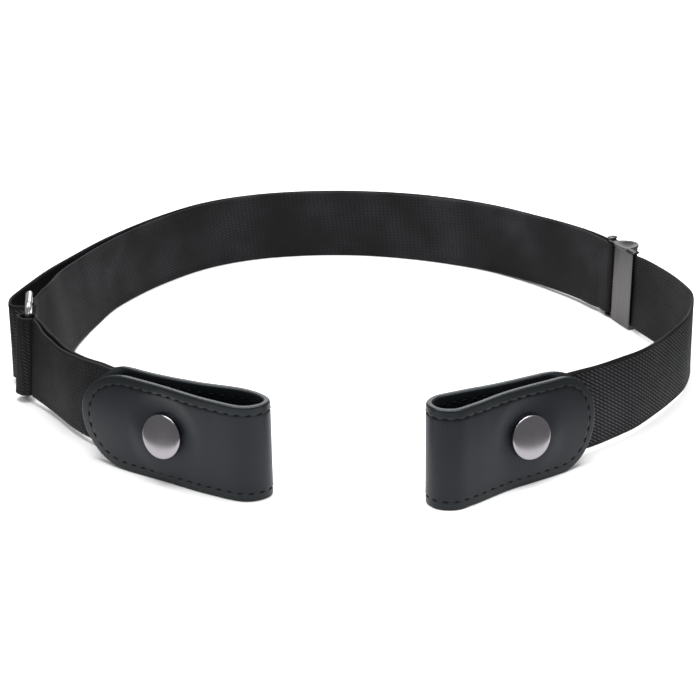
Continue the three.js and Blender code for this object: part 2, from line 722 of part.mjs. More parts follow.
function clipLever() {
  const low = SHEET + GAP;
  const high = CLIP_TALL - SHEET - GAP;
  const hub = new THREE.Shape();
  hub.absarc(PIVOT.x, PIVOT.y, HUB_RADIUS, 0, Math.PI * 2, false);
  const teeth = new THREE.Shape();
  const root = HUB_RADIUS - 0.2;
  const tip = root / 2;
  teeth.moveTo(PIVOT.x - root, PIVOT.y);
  teeth.lineTo(PIVOT.x + root, PIVOT.y);
  teeth.lineTo(PIVOT.x + tip, -GAP - 0.2);
  teeth.lineTo(PIVOT.x, -GAP - 0.7);
  teeth.lineTo(PIVOT.x - tip, -GAP - 0.2);
  const inner = -1.1;
  const outer = inner - SHEET;
  const lip = -HALF_CLIP - LIP.length;
  const tongue = new THREE.Shape();
  tongue.moveTo(PIVOT.x, inner);
  tongue.lineTo(-HALF_CLIP, inner);
  tongue.quadraticCurveTo(-HALF_CLIP - LIP.length / 2, inner, lip, inner - LIP.rise);
  tongue.lineTo(lip - SHEET / 2, outer - LIP.rise / 2);
  tongue.quadraticCurveTo(-HALF_CLIP - LIP.length / 2, outer, -HALF_CLIP, outer);
  tongue.lineTo(PIVOT.x, outer);
  return join(
    prism(hub, low, high, 10),
    prism(teeth, low, high),
    prism(tongue, low + TONGUE_INSET, high - TONGUE_INSET, 5),
    post(PIVOT.x, PIVOT.y, PIN_RADIUS, END_PLAY, CLIP_TALL - END_PLAY),
  );
}

// Finishes
const elastic = () => new THREE.MeshStandardMaterial({ color: 0x1c1c1f, roughness: 0.9, metalness: 0 });
const leather = () => new THREE.MeshStandardMaterial({ color: 0x2e3034, roughness: 0.5, metalness: 0 });
const gunmetal = () => new THREE.MeshStandardMaterial({ color: 0x6a686c, roughness: 0.35, metalness: 1 });
const chrome = () => new THREE.MeshStandardMaterial({ color: 0xd8d8dc, roughness: 0.12, metalness: 1 });

function piece(name, geometry, material) {
  const mesh = new THREE.Mesh(geometry, material);
  mesh.name = name;
  return mesh;
}

const clip = new THREE.Group();
clip.add(
  piece("clip_plate", clipPlate(), gunmetal()),
  piece("clip_bar", clipBar(), gunmetal()),
  piece("clip_lever", clipLever(), gunmetal()),
);
clip.position.set(CLIP_PLACE.x, CLIP_PLACE.y, 0);
clip.rotation.z = CLIP_PLACE.turn;

const belt = new THREE.Group();
belt.add(
  piece("main_strap", mainStrap, elastic()),
  piece("short_strap", shortStrap, elastic()),
  piece("ring", ring(), chrome()),
  clip,
  piece("left_tab", leftTab, leather()),
  piece("right_tab", rightTab, leather()),
  piece("left_snap_cap", placed(snapCap(), leftSnap.cap), gunmetal()),
  piece("right_snap_cap", placed(snapCap(), rightSnap.cap), gunmetal()),
  piece("left_snap_stud", placed(snapStud(leftSnap.rise), leftSnap.stud), gunmetal()),
  piece("right_snap_stud", placed(snapStud(rightSnap.rise), rightSnap.stud), gunmetal()),
);
belt.position.set(-MIDDLE.x, -MIDDLE.y, 0);

export default belt;
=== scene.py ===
import math

import bmesh
import bpy
import numpy as np
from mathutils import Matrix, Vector

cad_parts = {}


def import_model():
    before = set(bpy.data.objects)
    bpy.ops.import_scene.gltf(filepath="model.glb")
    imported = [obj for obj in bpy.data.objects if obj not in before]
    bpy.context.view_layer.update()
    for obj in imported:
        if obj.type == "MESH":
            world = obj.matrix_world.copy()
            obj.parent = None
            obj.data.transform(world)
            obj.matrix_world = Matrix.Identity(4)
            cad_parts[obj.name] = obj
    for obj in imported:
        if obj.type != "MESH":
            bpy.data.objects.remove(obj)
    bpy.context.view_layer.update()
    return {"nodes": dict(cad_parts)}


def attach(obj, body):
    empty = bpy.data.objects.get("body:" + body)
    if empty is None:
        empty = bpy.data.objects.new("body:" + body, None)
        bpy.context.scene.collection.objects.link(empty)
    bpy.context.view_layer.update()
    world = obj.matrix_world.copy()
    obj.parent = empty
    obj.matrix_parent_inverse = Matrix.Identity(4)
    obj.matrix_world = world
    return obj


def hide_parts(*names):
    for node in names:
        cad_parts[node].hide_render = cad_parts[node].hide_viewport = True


# A stretch belt: black twill elastic, two folded leather tabs with snaps, a wire ring and a clip.
# Lengths are in millimetres until a mesh is made, in the frame of the plan tables below.
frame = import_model()

MM = 0.001
MIDDLE = (0.28, 0.15)  # the tables' frame is this far from the part's
STRAP_WIDTH = 30.4
STRAP_THICKNESS = 1.2
HALF_STRAP = STRAP_THICKNESS / 2
TAB_HEIGHT = 34.6
MID_HEIGHT = TAB_HEIGHT / 2
STRAP_LOW = MID_HEIGHT - STRAP_WIDTH / 2
LEATHER = 2.5  # two plies sewn together
PLY = 1.1  # one ply where the strap's end lies between them
POCKET_DEPTH = 14
SNAP_RADIUS = 7.5
RING_WIRE = 2.6
RING_HEIGHT = 38
CLIP_LENGTH = 15
SHEET = 0.9  # the clip's sheet metal
GAP = 0.3  # clearance between neighbouring pieces

# How the belt stands, by bearing round the loop in degrees from +X. Lean is the tilt of the top
# towards the middle of the loop, and lift is how far a piece's middle is above the tabs' middle.
STANCE = {
    "bearing": (-80, -62, -50, -40, -30, -5, 8, 13, 17, 24, 31, 40, 50, 75, 90, 160, 190),
    "lean": (4, 4, 2, 0, -2, 1.4, -4.5, -4, 0, 0, -3, -2, 0, -1, 0, 0, -1.8),
    "lift": (0, 0, 0, 0, -0.2, -0.3, -0.3, -0.3, -0.3, -0.4, -0.5, -0.8, -1.3, -2, -2, -2, -0.4),
}
RING_STANCE = {"bearing": (0,), "lean": (4.5,), "lift": ((RING_HEIGHT - TAB_HEIGHT) / 2,)}
FRONT_LEFT_STANCE = {
    "bearing": (199, 206, 213, 222, 232, 258),
    "lean": (4.5, -2, -4, -1, 1, -3),
    "lift": (0.8, 0, 0, 0, 0, 0),
}
FIRST_BEARING = -90  # the tables' bearings lie between this and 270

# The long strap's outer face, seen from above, from the right tab past the clip: x, y
LOOP_SINGLE = (
    (84.3, -84.4), (93.8, -76.5), (101.7, -69.1), (112.8, -54.2), (118.6, -45.1), (125.1, -32.8),
    (130.4, -10.9), (128.4, 0.4), (121.3, 19.5), (115.6, 32.8), (112.3, 40.7), (110.7, 51.1),
)
# The same face where the strap is double: x, y, depth to the second layer's inner face, its splay
LOOP_DOUBLE = (
    (106.6, 56.4, 3.6, 0), (99.4, 67.6, 3, 0), (90.5, 79, 2.8, 0), (81.6, 89.2, 2.8, 0),
    (62.2, 107.4, 2.9, 0), (41.5, 119.7, 3.6, 0), (20, 126.8, 3.3, 0), (-1.9, 129.8, 2.9, 0),
    (-23.8, 128.8, 2.9, 0), (-45.4, 123.4, 2.9, 0), (-66.3, 111.6, 3.2, 0), (-85.6, 90.4, 3.6, 0),
    (-103, 63, 4.7, 0.3), (-114.3, 39, 7.2, 1.9), (-121.4, 19.9, 9.4, 2.7),
    (-127, -2.5, 12, 2.8), (-129.2, -12, 11.2, 1),
)
RING_BULGE = ((-129.3, -17.5), (-128.2, -23.8))
RING_RETURN = ((-119.9, -17.5),)
REAR_BAR = (-122.4, -23.4)
FRONT_BAR = (-120.3, -37.6)
FRONT_TURN = (-121.1, -37.9)
FRONT_TURN_RADIUS = 3

# The short strap: x and y of the line between its two layers, and the gap between them
SHORT_STRAP = ((-92.3, -77.3, 0.3), (-100.3, -68, 0.9), (-107, -57, 1.2), (-117.4, -41.4, 0.3))

# The outside of each folded tab: the flap's tip, the fold and the back half's end
LEFT_TAB = (
    (-93.6, -87.1), (-82, -96.5), (-64.4, -107.8), (-47.5, -118.9), (-35.2, -124.2),
    (-28.7, -121.7), (-26.6, -117.5), (-28.6, -112.8), (-35.3, -107.6), (-51.6, -102.2),
    (-68.5, -94.4), (-80.5, -85.9), (-89, -77.6),
)
RIGHT_TAB = (
    (83, -92.3), (69.6, -102.1), (52, -113.7), (40, -123.9), (33.4, -128.3), (27, -127.5),
    (23.6, -122), (26, -116), (33.7, -111.5), (48, -104.8), (63.8, -95.7), (79.8, -85),
)
FOLD_ROW = 6


# Curves
def ease(t):
    t = np.clip(t, 0, 1)
    return t * t * (3 - 2 * t)


def row_value(places, values, place):
    """The value between the rows of a table, on a smooth curve without overshoot."""
    last = len(places) - 1
    if place <= places[0]:
        return values[0]
    if place >= places[last]:
        return values[last]

    def slope(i):
        return (values[i + 1] - values[i]) / (places[i + 1] - places[i])

    def slope_at(i):
        if i in (0, last) or slope(i - 1) * slope(i) <= 0:
            return 0
        return 2 * slope(i - 1) * slope(i) / (slope(i - 1) + slope(i))

    after = next(i for i, here in enumerate(places) if here > place)
    before = after - 1
    run = places[after] - places[before]
    share = (place - places[before]) / run
    curve = (1 - share) * slope_at(before) - share * slope_at(after)
    level = values[before] + (values[after] - values[before]) * float(ease(share))
    return level + run * share * (1 - share) * curve


def stand(x, y, z, stance, extra_lean=0.0):
    """Leans and lifts a point of the plan, and gives it in metres in the part's frame."""
    bearing = math.degrees(math.atan2(y, x))
    if bearing < FIRST_BEARING:
        bearing += 360
    lean = math.radians(row_value(stance["bearing"], stance["lean"], bearing) + extra_lean)
    lift = row_value(stance["bearing"], stance["lift"], bearing)
    inward = 1 - math.tan(lean) * (z - MID_HEIGHT) / math.hypot(x, y)
    return Vector((x * inward - MIDDLE[0], y * inward - MIDDLE[1], z + lift)) * MM


class PlanLine:
    """A smooth centripetal line through plan points, measured by its length."""

    STEPS = 60

    def __init__(self, points, side=1):
        knots = np.array([point[:2] for point in points], float)
        first = 2 * knots[0] - knots[1]
        last = 2 * knots[-1] - knots[-2]
        knots = np.vstack([first, knots, last])
        pieces = []
        for i in range(1, len(knots) - 2):
            pieces.append(self.stretch(*knots[i - 1:i + 3])[:-1])
        pieces.append(knots[-2:-1])
        self.points = np.vstack(pieces)
        steps = np.linalg.norm(np.diff(self.points, axis=0), axis=1)
        self.run = np.concatenate([[0], np.cumsum(steps)])
        self.length = self.run[-1]
        self.side = side
        slopes = np.gradient(self.points, axis=0)
        self.slopes = slopes / np.linalg.norm(slopes, axis=1)[:, None]

    def stretch(self, p0, p1, p2, p3):
        """Points on the curve from p1 to p2."""
        gap0, gap1, gap2 = (self.knot_gap(a, b) for a, b in ((p0, p1), (p1, p2), (p2, p3)))
        slope1 = (p1 - p0) / gap0 - (p2 - p0) / (gap0 + gap1) + (p2 - p1) / gap1
        slope2 = (p2 - p1) / gap1 - (p3 - p1) / (gap1 + gap2) + (p3 - p2) / gap2
        slope1, slope2 = slope1 * gap1, slope2 * gap1
        share = np.linspace(0, 1, self.STEPS + 1)[:, None]
        return (
            p1
            + slope1 * share
            + (3 * (p2 - p1) - 2 * slope1 - slope2) * share ** 2
            + (2 * (p1 - p2) + slope1 + slope2) * share ** 3
        )

    @staticmethod
    def knot_gap(a, b):
        return math.sqrt(max(np.linalg.norm(b - a), 1e-4))

    def at(self, distance, offset=0.0):
        """The point at a distance along the line, moved sideways by an offset."""
        x, y = (np.interp(distance, self.run, self.points[:, axis]) for axis in (0, 1))
        along = self.along(distance)
        return x - along[1] * offset * self.side, y + along[0] * offset * self.side

    def along(self, distance):
        """The line's direction at a distance along it."""
        slope = [np.interp(distance, self.run, self.slopes[:, axis]) for axis in (0, 1)]
        size = math.hypot(*slope)
        return slope[0] / size, slope[1] / size

    def distance_to(self, point):
        """How far along the line its nearest place to a point is."""
        away = np.linalg.norm(self.points - np.array(point[:2]), axis=1)
        return self.run[away.argmin()]


def stations(start, end, step):
    """Evenly spaced values from start to end, at most a step apart."""
    count = max(1, math.ceil(abs(end - start) / step))
    return [start + (end - start) * i / count for i in range(count + 1)]


def arc(centre, radius, start, end, segments):
    angles = [start + (end - start) * i / segments for i in range(segments + 1)]
    return [(centre[0] + radius * math.cos(a), centre[1] + radius * math.sin(a)) for a in angles]


def around(segments):
    """Angles of a full turn, without its last one."""
    return [math.tau * i / segments for i in range(segments)]


# Each tab: the rounding of its corners and their lift at the flap's tip and at the back half's end,
# the strap's layers in its pocket, how far the snap is from the fold and how its seat rises.
LEFT_LINE = PlanLine(LEFT_TAB, 1)
RIGHT_LINE = PlanLine(RIGHT_TAB, -1)
LEFT = {
    "line": LEFT_LINE, "side": 1, "fold": LEFT_TAB[FOLD_ROW], "stance": FRONT_LEFT_STANCE,
    "tip": (22, -0.6), "end": (20, -0.5), "layers": 2, "snap": 44, "rise": math.tan(math.radians(6)),
}
RIGHT = {
    "line": RIGHT_LINE, "side": -1, "fold": RIGHT_TAB[FOLD_ROW], "stance": STANCE,
    "tip": (15.5, -0.2), "end": (20, 0.9), "layers": 1, "snap": 45, "rise": math.tan(math.radians(3)),
}


def pocket_points(line, offset):
    """Plan points for a strap's end in the pocket between a tab's plies."""
    bottom = line.length - POCKET_DEPTH + GAP
    mouth = line.length - POCKET_DEPTH / 3
    return [line.at(d, offset) for d in stations(bottom, mouth, POCKET_DEPTH / 3)]


LOOP_LINE = PlanLine([*pocket_points(RIGHT_LINE, LEATHER / 2 + HALF_STRAP), *LOOP_SINGLE, *LOOP_DOUBLE])
SHORT_LINE = PlanLine([*pocket_points(LEFT_LINE, LEATHER / 2), *SHORT_STRAP, FRONT_TURN])

# The clip's own frame: X along the strap towards the back, Y inwards, the strap's outer face at 0
CLIP_PLACE = (112.7, 39.7)
CLIP_TURN = math.radians(112.4)
HALF_CLIP = CLIP_LENGTH / 2
PLATE_PLAY = 0.1
PLATE_FACE = STRAP_THICKNESS + GAP + SHEET + PLATE_PLAY
BAR_RADIUS = 0.6
PIN_GAP = 0.2
BAR_LOOP = BAR_RADIUS + PIN_GAP + HALF_STRAP
BAR_REACH = 3.8  # from the plate's end to the bar
BAR_INWARD = 0.4  # how far the strap's loop on the bar stands inward of the plate
BAR = (HALF_CLIP + BAR_REACH, PLATE_FACE + BAR_INWARD - BAR_LOOP - HALF_STRAP)


def from_clip(x, y):
    cosine, sine = math.cos(CLIP_TURN), math.sin(CLIP_TURN)
    return CLIP_PLACE[0] + x * cosine - y * sine, CLIP_PLACE[1] + x * sine + y * cosine


# Paths of the straps
LONG_STEP = 1.6
SHORT_STEP = 0.8
WRAP_RADIUS = RING_WIRE / 2 + GAP + HALF_STRAP
WRAP_ANGLES = (-math.pi * 0.6, math.pi * 0.02)
RING_LEAN = RING_STANCE["lean"][0] - STANCE["lean"][-1]
RING_TUCK = 1.4  # the ring's lower rod pushes the strap's lower edge up
PAST_BAR = 6  # the second layer leaves the loop's line this far before the clip's bar
BESIDE_BAR = 2
SEWN_LAP = 2.2  # the strap's sewn end reaches this far back from the bar
SEWN_RISE = 0.5

# How deep the ribs are: in front, on the webbing's back and return run, and on the short strap. The depth
# also sets how strongly the ribs' painted shade and painted highlight show in the colour.
WEAVE_FULL = 1
WEAVE_SOFT = 0.18
WEAVE_SHORT = 0.35


def spot(point, lean=0.0, splay=0.0, tuck=0.0, weave=WEAVE_SOFT, seam=0.0):
    """A station of a strap: its place in plan, its stance, its ribs' depth and how near a seam is."""
    return {"x": point[0], "y": point[1], "lean": lean, "splay": splay, "tuck": tuck,
            "weave": weave, "seam": seam}


def place_of(station):
    return station["x"], station["y"]


def between(points):
    """Places on a line through plan points, without its ends, each with its share of the way."""
    line = PlanLine(points)
    return [(line.at(d), d / line.length) for d in stations(0, line.length, SHORT_STEP)[1:-1]]


def ring_bulge(start, end):
    """The strap swells out before the ring's rear bar, and takes the ring's lean."""
    path = []
    for point, share in between([start, *RING_BULGE, end]):
        lean, tuck = RING_LEAN * share ** 2, RING_TUCK * share
        path.append(spot(point, lean=lean, tuck=tuck, weave=WEAVE_FULL))
    return path


def ring_return(start, inner):
    """From the ring's rear bar back to the first station of the second layer."""
    path = []
    for point, share in between([start, *RING_RETURN, place_of(inner)]):
        lean, tuck = RING_LEAN * (1 - share), RING_TUCK * (1 - share)
        path.append(spot(point, lean=lean, splay=inner["splay"] * share, tuck=tuck))
    return path


def second_layer():
    """The strap's return run inside the loop, from the ring to near the clip."""
    places = [LOOP_LINE.distance_to(row) for row in LOOP_DOUBLE]
    _, _, depths, splays = zip(*LOOP_DOUBLE)
    end = LOOP_LINE.distance_to(from_clip(*BAR)) + PAST_BAR
    path = []
    for distance in stations(LOOP_LINE.length, end, LONG_STEP):
        depth = row_value(places, depths, distance)
        splay = -row_value(places, splays, distance)
        path.append(spot(LOOP_LINE.at(distance, depth - HALF_STRAP), splay=splay))
    return path


def loop_at_bar(start):
    """The strap's end, led round the clip's bar and sewn down."""
    inward = CLIP_TURN + math.pi / 2
    turn = arc(from_clip(*BAR), BAR_LOOP, inward, inward + math.pi, segments=12)
    before = from_clip(BAR[0] + BESIDE_BAR, BAR[1] + BAR_LOOP)
    to_bar = [point for point, _ in between([start, before, turn[0]])]
    sewn_end = from_clip(BAR[0] + SEWN_LAP, BAR[1] - BAR_LOOP + SEWN_RISE)
    return [spot(point) for point in (*to_bar, *turn, sewn_end)]


def long_strap_path():
    """The long strap from the right tab round the ring's rear bar and back to the clip's bar."""
    distances = stations(0, LOOP_LINE.length, LONG_STEP)
    outer = [spot(LOOP_LINE.at(d, HALF_STRAP), weave=WEAVE_FULL) for d in distances]
    turn = arc(REAR_BAR, WRAP_RADIUS, *WRAP_ANGLES, segments=10)
    bulge = ring_bulge(place_of(outer[-1]), turn[0])
    wrap = [spot(point, lean=RING_LEAN, tuck=RING_TUCK) for point in turn]
    inner = second_layer()
    back = ring_return(turn[-1], inner[0])
    return [*outer, *bulge, *wrap, *back, *inner, *loop_at_bar(place_of(inner[-1]))]


# Beside the ring a seam pinches the short strap's two layers together
SHORT_SEAM = {"reach": 2, "step": 0.16, "width": 0.65, "depth": 0.5}
BEFORE_TURN = 1


def short_strap_path():
    """The short strap from the left tab round the ring's front bar and back."""
    turn_start = SHORT_LINE.length - FRONT_TURN_RADIUS / 2
    places = [SHORT_LINE.distance_to(row) for row in SHORT_STRAP] + [turn_start]
    halves = [HALF_STRAP + row[2] / 2 for row in SHORT_STRAP] + [FRONT_TURN_RADIUS]
    seam_place = SHORT_LINE.distance_to(SHORT_STRAP[-1])
    reaches = stations(-SHORT_SEAM["reach"], SHORT_SEAM["reach"], SHORT_SEAM["step"])
    near_seam = [seam_place + reach for reach in reaches]
    steps = stations(0, near_seam[0], SHORT_STEP) + near_seam[1:]
    steps += stations(near_seam[-1], SHORT_LINE.length - BEFORE_TURN, SHORT_STEP / 2)[1:]
    sides = {}
    for sign in (-1, 1):
        sides[sign] = []
        for distance in steps:
            seam = math.exp(-((distance - seam_place) / SHORT_SEAM["width"]) ** 2)
            half = row_value(places, halves, distance) - SHORT_SEAM["depth"] * seam
            point = SHORT_LINE.at(distance, sign * half)
            sides[sign].append(spot(point, weave=WEAVE_SHORT, seam=seam))
    heading = math.atan2(*reversed(SHORT_LINE.along(SHORT_LINE.length)))
    quarter = math.pi / 2
    turn = arc(FRONT_TURN, FRONT_TURN_RADIUS, heading - quarter, heading + quarter, segments=18)
    turned = [spot(point, weave=WEAVE_SHORT) for point in turn]
    return [*sides[-1], *turned, *reversed(sides[1])]


# Meshes
def make_object(name, vertices, faces, uvs, material):
    """A mesh with one or more UV layers, given as a list of values per vertex. End faces stay flat."""
    mesh = bpy.data.meshes.new(name)
    mesh.from_pydata([tuple(v) for v in vertices], [], faces)
    for layer_name, values in uvs.items():
        layer = mesh.uv_layers.new(name=layer_name)
        loops = np.zeros(len(mesh.loops), int)
        mesh.loops.foreach_get("vertex_index", loops)
        layer.data.foreach_set("uv", np.array(values, float)[loops].ravel())
    for face in mesh.polygons:
        face.use_smooth = len(face.vertices) <= 4
    mesh.update()
    made = bpy.data.objects.new(name, mesh)
    bpy.context.scene.collection.objects.link(made)
    made.data.materials.append(material)
    return made


def welded(made):
    """Joins points that lie together, and turns every face outwards."""
    mesh = bmesh.new()
    mesh.from_mesh(made.data)
    bmesh.ops.remove_doubles(mesh, verts=mesh.verts, dist=1e-6)
    bmesh.ops.dissolve_degenerate(mesh, edges=mesh.edges, dist=1e-7)
    bmesh.ops.recalc_face_normals(mesh, faces=mesh.faces)
    mesh.to_mesh(made.data)
    mesh.free()
    return made


def grid_faces(rings, size, first=0):
    """Quads between closed rings of points."""
    faces = []
    for r in range(rings - 1):
        for i in range(size):
            j = (i + 1) % size
            here = first + r * size
            faces.append((here + i, here + j, here + size + j, here + size + i))
    return faces


def body_faces(rings, size, first=0):
    """The faces of a closed body: quads between its rings, and one face over each end."""
    end = first + (rings - 1) * size
    faces = grid_faces(rings, size, first)
    faces.append(tuple(range(first + size - 1, first - 1, -1)))
    faces.append(tuple(range(end, end + size)))
    return faces


# Webbing: the rounding of its edges, its fuller selvedge and the rest of its thickness
EDGE_ROUND = 0.45
SELVEDGE = {"width": 1.4, "end": 1.7, "fuller": 0.12}
BODY_SHARE = 0.9
SECTION_STEP = 2


def strap_section():
    """Points round the strap's section: how far aside, as a share of half its thickness, and height."""
    insets = [0, 0.06, 0.2, EDGE_ROUND, SELVEDGE["width"], SELVEDGE["end"]]
    heights = insets + stations(SELVEDGE["end"], STRAP_WIDTH - SELVEDGE["end"], SECTION_STEP)[1:-1]
    heights += [STRAP_WIDTH - inset for inset in reversed(insets)]
    inner = []
    for height in heights:
        inset = min(height, STRAP_WIDTH - height)
        fullness = math.sqrt(1 - max(0, 1 - inset / EDGE_ROUND) ** 2)
        selvedge = SELVEDGE["fuller"] if EDGE_ROUND <= inset <= SELVEDGE["width"] else 0
        inner.append((fullness * (1 + selvedge) * BODY_SHARE, height))
    outer = [(-aside, height) for aside, height in inner[-2:0:-1]]
    return inner + outer


def strap(name, path, stance, material):
    """Webbing along a path. Its UV layers hold the place on the cloth, and the weave and the seam."""
    section = strap_section()
    vertices, cloth_uvs, face_uvs = [], [], []
    run = 0.0
    for i, point in enumerate(path):
        before, after = path[max(0, i - 1)], path[min(len(path) - 1, i + 1)]
        dx, dy = after["x"] - before["x"], after["y"] - before["y"]
        length = math.hypot(dx, dy)
        if i:
            run += math.hypot(point["x"] - before["x"], point["y"] - before["y"])
        for aside, height in section:
            from_foot = height / STRAP_WIDTH
            offset = aside * HALF_STRAP + point["splay"] * (1 - 2 * from_foot)
            x = point["x"] - dy / length * offset
            y = point["y"] + dx / length * offset
            z = STRAP_LOW + height + point["tuck"] * (1 - from_foot)
            vertices.append(stand(x, y, z, stance, point["lean"]))
            cloth_uvs.append((run * MM, height * MM))
            weave = point["weave"] if aside < 0 else WEAVE_SOFT
            face_uvs.append((weave, point["seam"]))
    faces = [tuple(reversed(face)) for face in body_faces(len(path), len(section))]
    return make_object(name, vertices, faces, {"cloth": cloth_uvs, "face": face_uvs}, material)


# The leather is drawn flat round each snap's cap, turned a little towards the front and up. Past
# the flat it runs back to the strip.
SEAT = {"flat": 8.2, "run": 8, "turn": math.tan(math.radians(3))}

# The tabs are nested loops round the strip, from the middle line of the outer face over the rim to
# the middle line of the inner face. Inset counts from the strip's outline, and the layer says
# whether a loop is on the outer face, on the cut edge or on the inner face.
OUTER, EDGE, INNER = 0, 0.5, 1
RIM_ROUND = 0.6
SEAM_INSET = 3.0
SEAM_WIDTH = 0.5
SEAM_DEPTH = 0.12
BORDER = {"depth": 0.10, "width": 1.2, "run": 1.8}  # the border lies under the face
SWELL_RUN = 4
SWELL_RIM = 1.6
TAB_STEP = 1.5
CORNER_STEP = math.pi / 40
TAB_INSETS = (
    0, 0.05, 0.16, 0.34, RIM_ROUND, 1.3, 2, 2.5, 2.75, SEAM_INSET, 3.25, 3.5, 4, 5, 7, 9.5, 12, 15,
    MID_HEIGHT,
)


def tab_outline(tab, inset):
    """A loop round the strip at an inset from its outline: distance, height above the middle."""
    (tip_round, _), (end_round, _) = tab["tip"], tab["end"]
    share = 1 - inset / MID_HEIGHT
    half = MID_HEIGHT * share
    far = tab["line"].length - end_round
    corner = stations(0, math.pi / 2, CORNER_STEP)
    loop = [(tip_round - tip_round * share * math.sin(a), half * math.cos(a)) for a in reversed(corner)]
    loop += [(d, half) for d in stations(tip_round, far, TAB_STEP)[1:-1]]
    loop += [(far + end_round * share * math.sin(a), half * math.cos(a)) for a in corner]
    below = [(d, -z) for d, z in reversed(loop)]
    return loop + below[1:-1]


def tab_face_offset(inset):
    """How far the face lies under the leather's own surface: rounded rim, sewn groove, border."""
    rim = RIM_ROUND - math.sqrt(max(0, RIM_ROUND ** 2 - max(0, RIM_ROUND - inset) ** 2))
    groove = SEAM_DEPTH * math.exp(-((inset - SEAM_INSET) / SEAM_WIDTH) ** 2 * 2)
    border = BORDER["depth"] * float(ease(1 - (inset - BORDER["width"]) / BORDER["run"]))
    return rim + groove + border


def snap_distance(tab):
    return tab["line"].distance_to(tab["fold"]) - tab["snap"]


def seat_offset(tab, distance, height):
    """How far inward the leather is drawn near the snap's cap."""
    from_cap = distance - snap_distance(tab)
    away = math.hypot(from_cap, height)
    if away >= SEAT["flat"] + SEAT["run"]:
        return 0.0
    hold = 1 - float(ease((away - SEAT["flat"]) / SEAT["run"]))
    return hold * (SEAT["turn"] * from_cap + tab["rise"] * height)


def tab_stand(tab, distance, height, offset):
    """The place of a point of the strip, with the lift of its corners."""
    line, (tip_round, tip_lift), (end_round, end_lift) = tab["line"], tab["tip"], tab["end"]
    lift = tip_lift * ease(1 - distance / tip_round)
    lift += end_lift * ease(1 - (line.length - distance) / end_round)
    x, y = line.at(distance, offset)
    return stand(x, y, MID_HEIGHT + height + float(lift), tab["stance"])


def tab_swell(tab, distance, inset):
    """How much fuller the leather is on each side where the strap's end lies in it."""
    filling = tab["layers"] * STRAP_THICKNESS + (tab["layers"] + 1) * GAP + 2 * PLY - LEATHER
    into = (distance - (tab["line"].length - POCKET_DEPTH - SWELL_RUN)) / SWELL_RUN
    return float(filling / 2 * ease(into) * ease(inset / SWELL_RIM))


def leather_tab(name, tab, material):
    """A folded strip. Its UV layers hold the place on the leather, and the inset and the layer."""
    vertices, leather_uvs, edge_uvs = [], [], []
    rows = [(inset, OUTER) for inset in reversed(TAB_INSETS)]
    rows += [(0, EDGE)]
    rows += [(inset, INNER) for inset in TAB_INSETS]
    for inset, layer in rows:
        for distance, height in tab_outline(tab, inset):
            sunk = tab_face_offset(inset) - tab_swell(tab, distance, inset)
            seat = seat_offset(tab, distance, height)
            offset = seat + {OUTER: sunk, EDGE: LEATHER / 2, INNER: LEATHER - sunk}[layer]
            vertices.append(tab_stand(tab, distance, height, offset))
            leather_uvs.append((distance * MM, height * MM))
            edge_uvs.append((inset * MM, layer))
    faces = grid_faces(len(rows), len(vertices) // len(rows))
    if tab["side"] > 0:
        faces = [tuple(reversed(face)) for face in faces]
    uvs = {"leather": leather_uvs, "edge": edge_uvs}
    return welded(make_object(name, vertices, faces, uvs, material))


STITCH_PITCH = 3.9
STITCH_LENGTH = 2.2
STITCH_RADIUS = 0.3
STITCH_SLANT = 0.2
STITCH_SIDES = 6
STITCH_SINK = 0.02  # how far a thread's middle lies under the groove's floor

# Rings along a stitch: place as a share of its length, thickness as a share, and height
STITCH_RINGS = (
    (-0.5, 0.25, -0.168), (-0.42, 0.75, -0.036), (-0.2, 1, 0.06),
    (0.2, 1, 0.06), (0.42, 0.75, -0.036), (0.5, 0.25, -0.168),
)


class SeamLine:
    """The seam round a tab's strip, twice over, so that a stitch can cross its start."""

    LOOK_AHEAD = 0.2

    def __init__(self, tab):
        self.loop = np.array(tab_outline(tab, SEAM_INSET) * 2)
        steps = np.linalg.norm(np.diff(self.loop, axis=0), axis=1)
        self.run = np.concatenate([[0], np.cumsum(steps)])
        self.length = self.run[len(self.run) // 2]

    def at(self, place):
        return np.array([np.interp(place, self.run, self.loop[:, axis]) for axis in (0, 1)])

    def across(self, place):
        along = self.at(place + self.LOOK_AHEAD) - self.at(place)
        return np.array([-along[1], along[0]]) / max(np.linalg.norm(along), 1e-6)


def stitch_ring(tab, seam, place, slant, radius, rise, layer):
    """Points round a stitch at one place along the seam, and their UV."""
    middle, across = seam.at(place), seam.across(place)
    vertices, uvs = [], []
    for side, angle in enumerate(around(STITCH_SIDES)):
        distance, height = middle + across * (slant + radius * math.cos(angle))
        out = rise + radius * math.sin(angle)
        sunk = tab_face_offset(SEAM_INSET) + STITCH_SINK - tab_swell(tab, distance, SEAM_INSET)
        offset = sunk - out if layer == OUTER else LEATHER - sunk + out
        vertices.append(tab_stand(tab, distance, height, offset))
        uvs.append((middle[0] * MM, side / STITCH_SIDES))
    return vertices, uvs


def stitches(name, tab, material):
    """Short slanted threads along the seam, on both faces of the strip."""
    seam = SeamLine(tab)
    count = int(seam.length / STITCH_PITCH)
    vertices, faces, uvs = [], [], []
    for layer in (OUTER, INNER):
        for k in range(count):
            first = len(vertices)
            for share, thickness, rise in STITCH_RINGS:
                place = (seam.length * k / count + share * STITCH_LENGTH) % seam.length
                radius = STITCH_RADIUS * thickness
                ring, ring_uvs = stitch_ring(tab, seam, place, share * STITCH_SLANT, radius, rise, layer)
                vertices += ring
                uvs += ring_uvs
            faces += body_faces(len(STITCH_RINGS), STITCH_SIDES, first)
    return welded(make_object(name, vertices, faces, {"thread": uvs}, material))


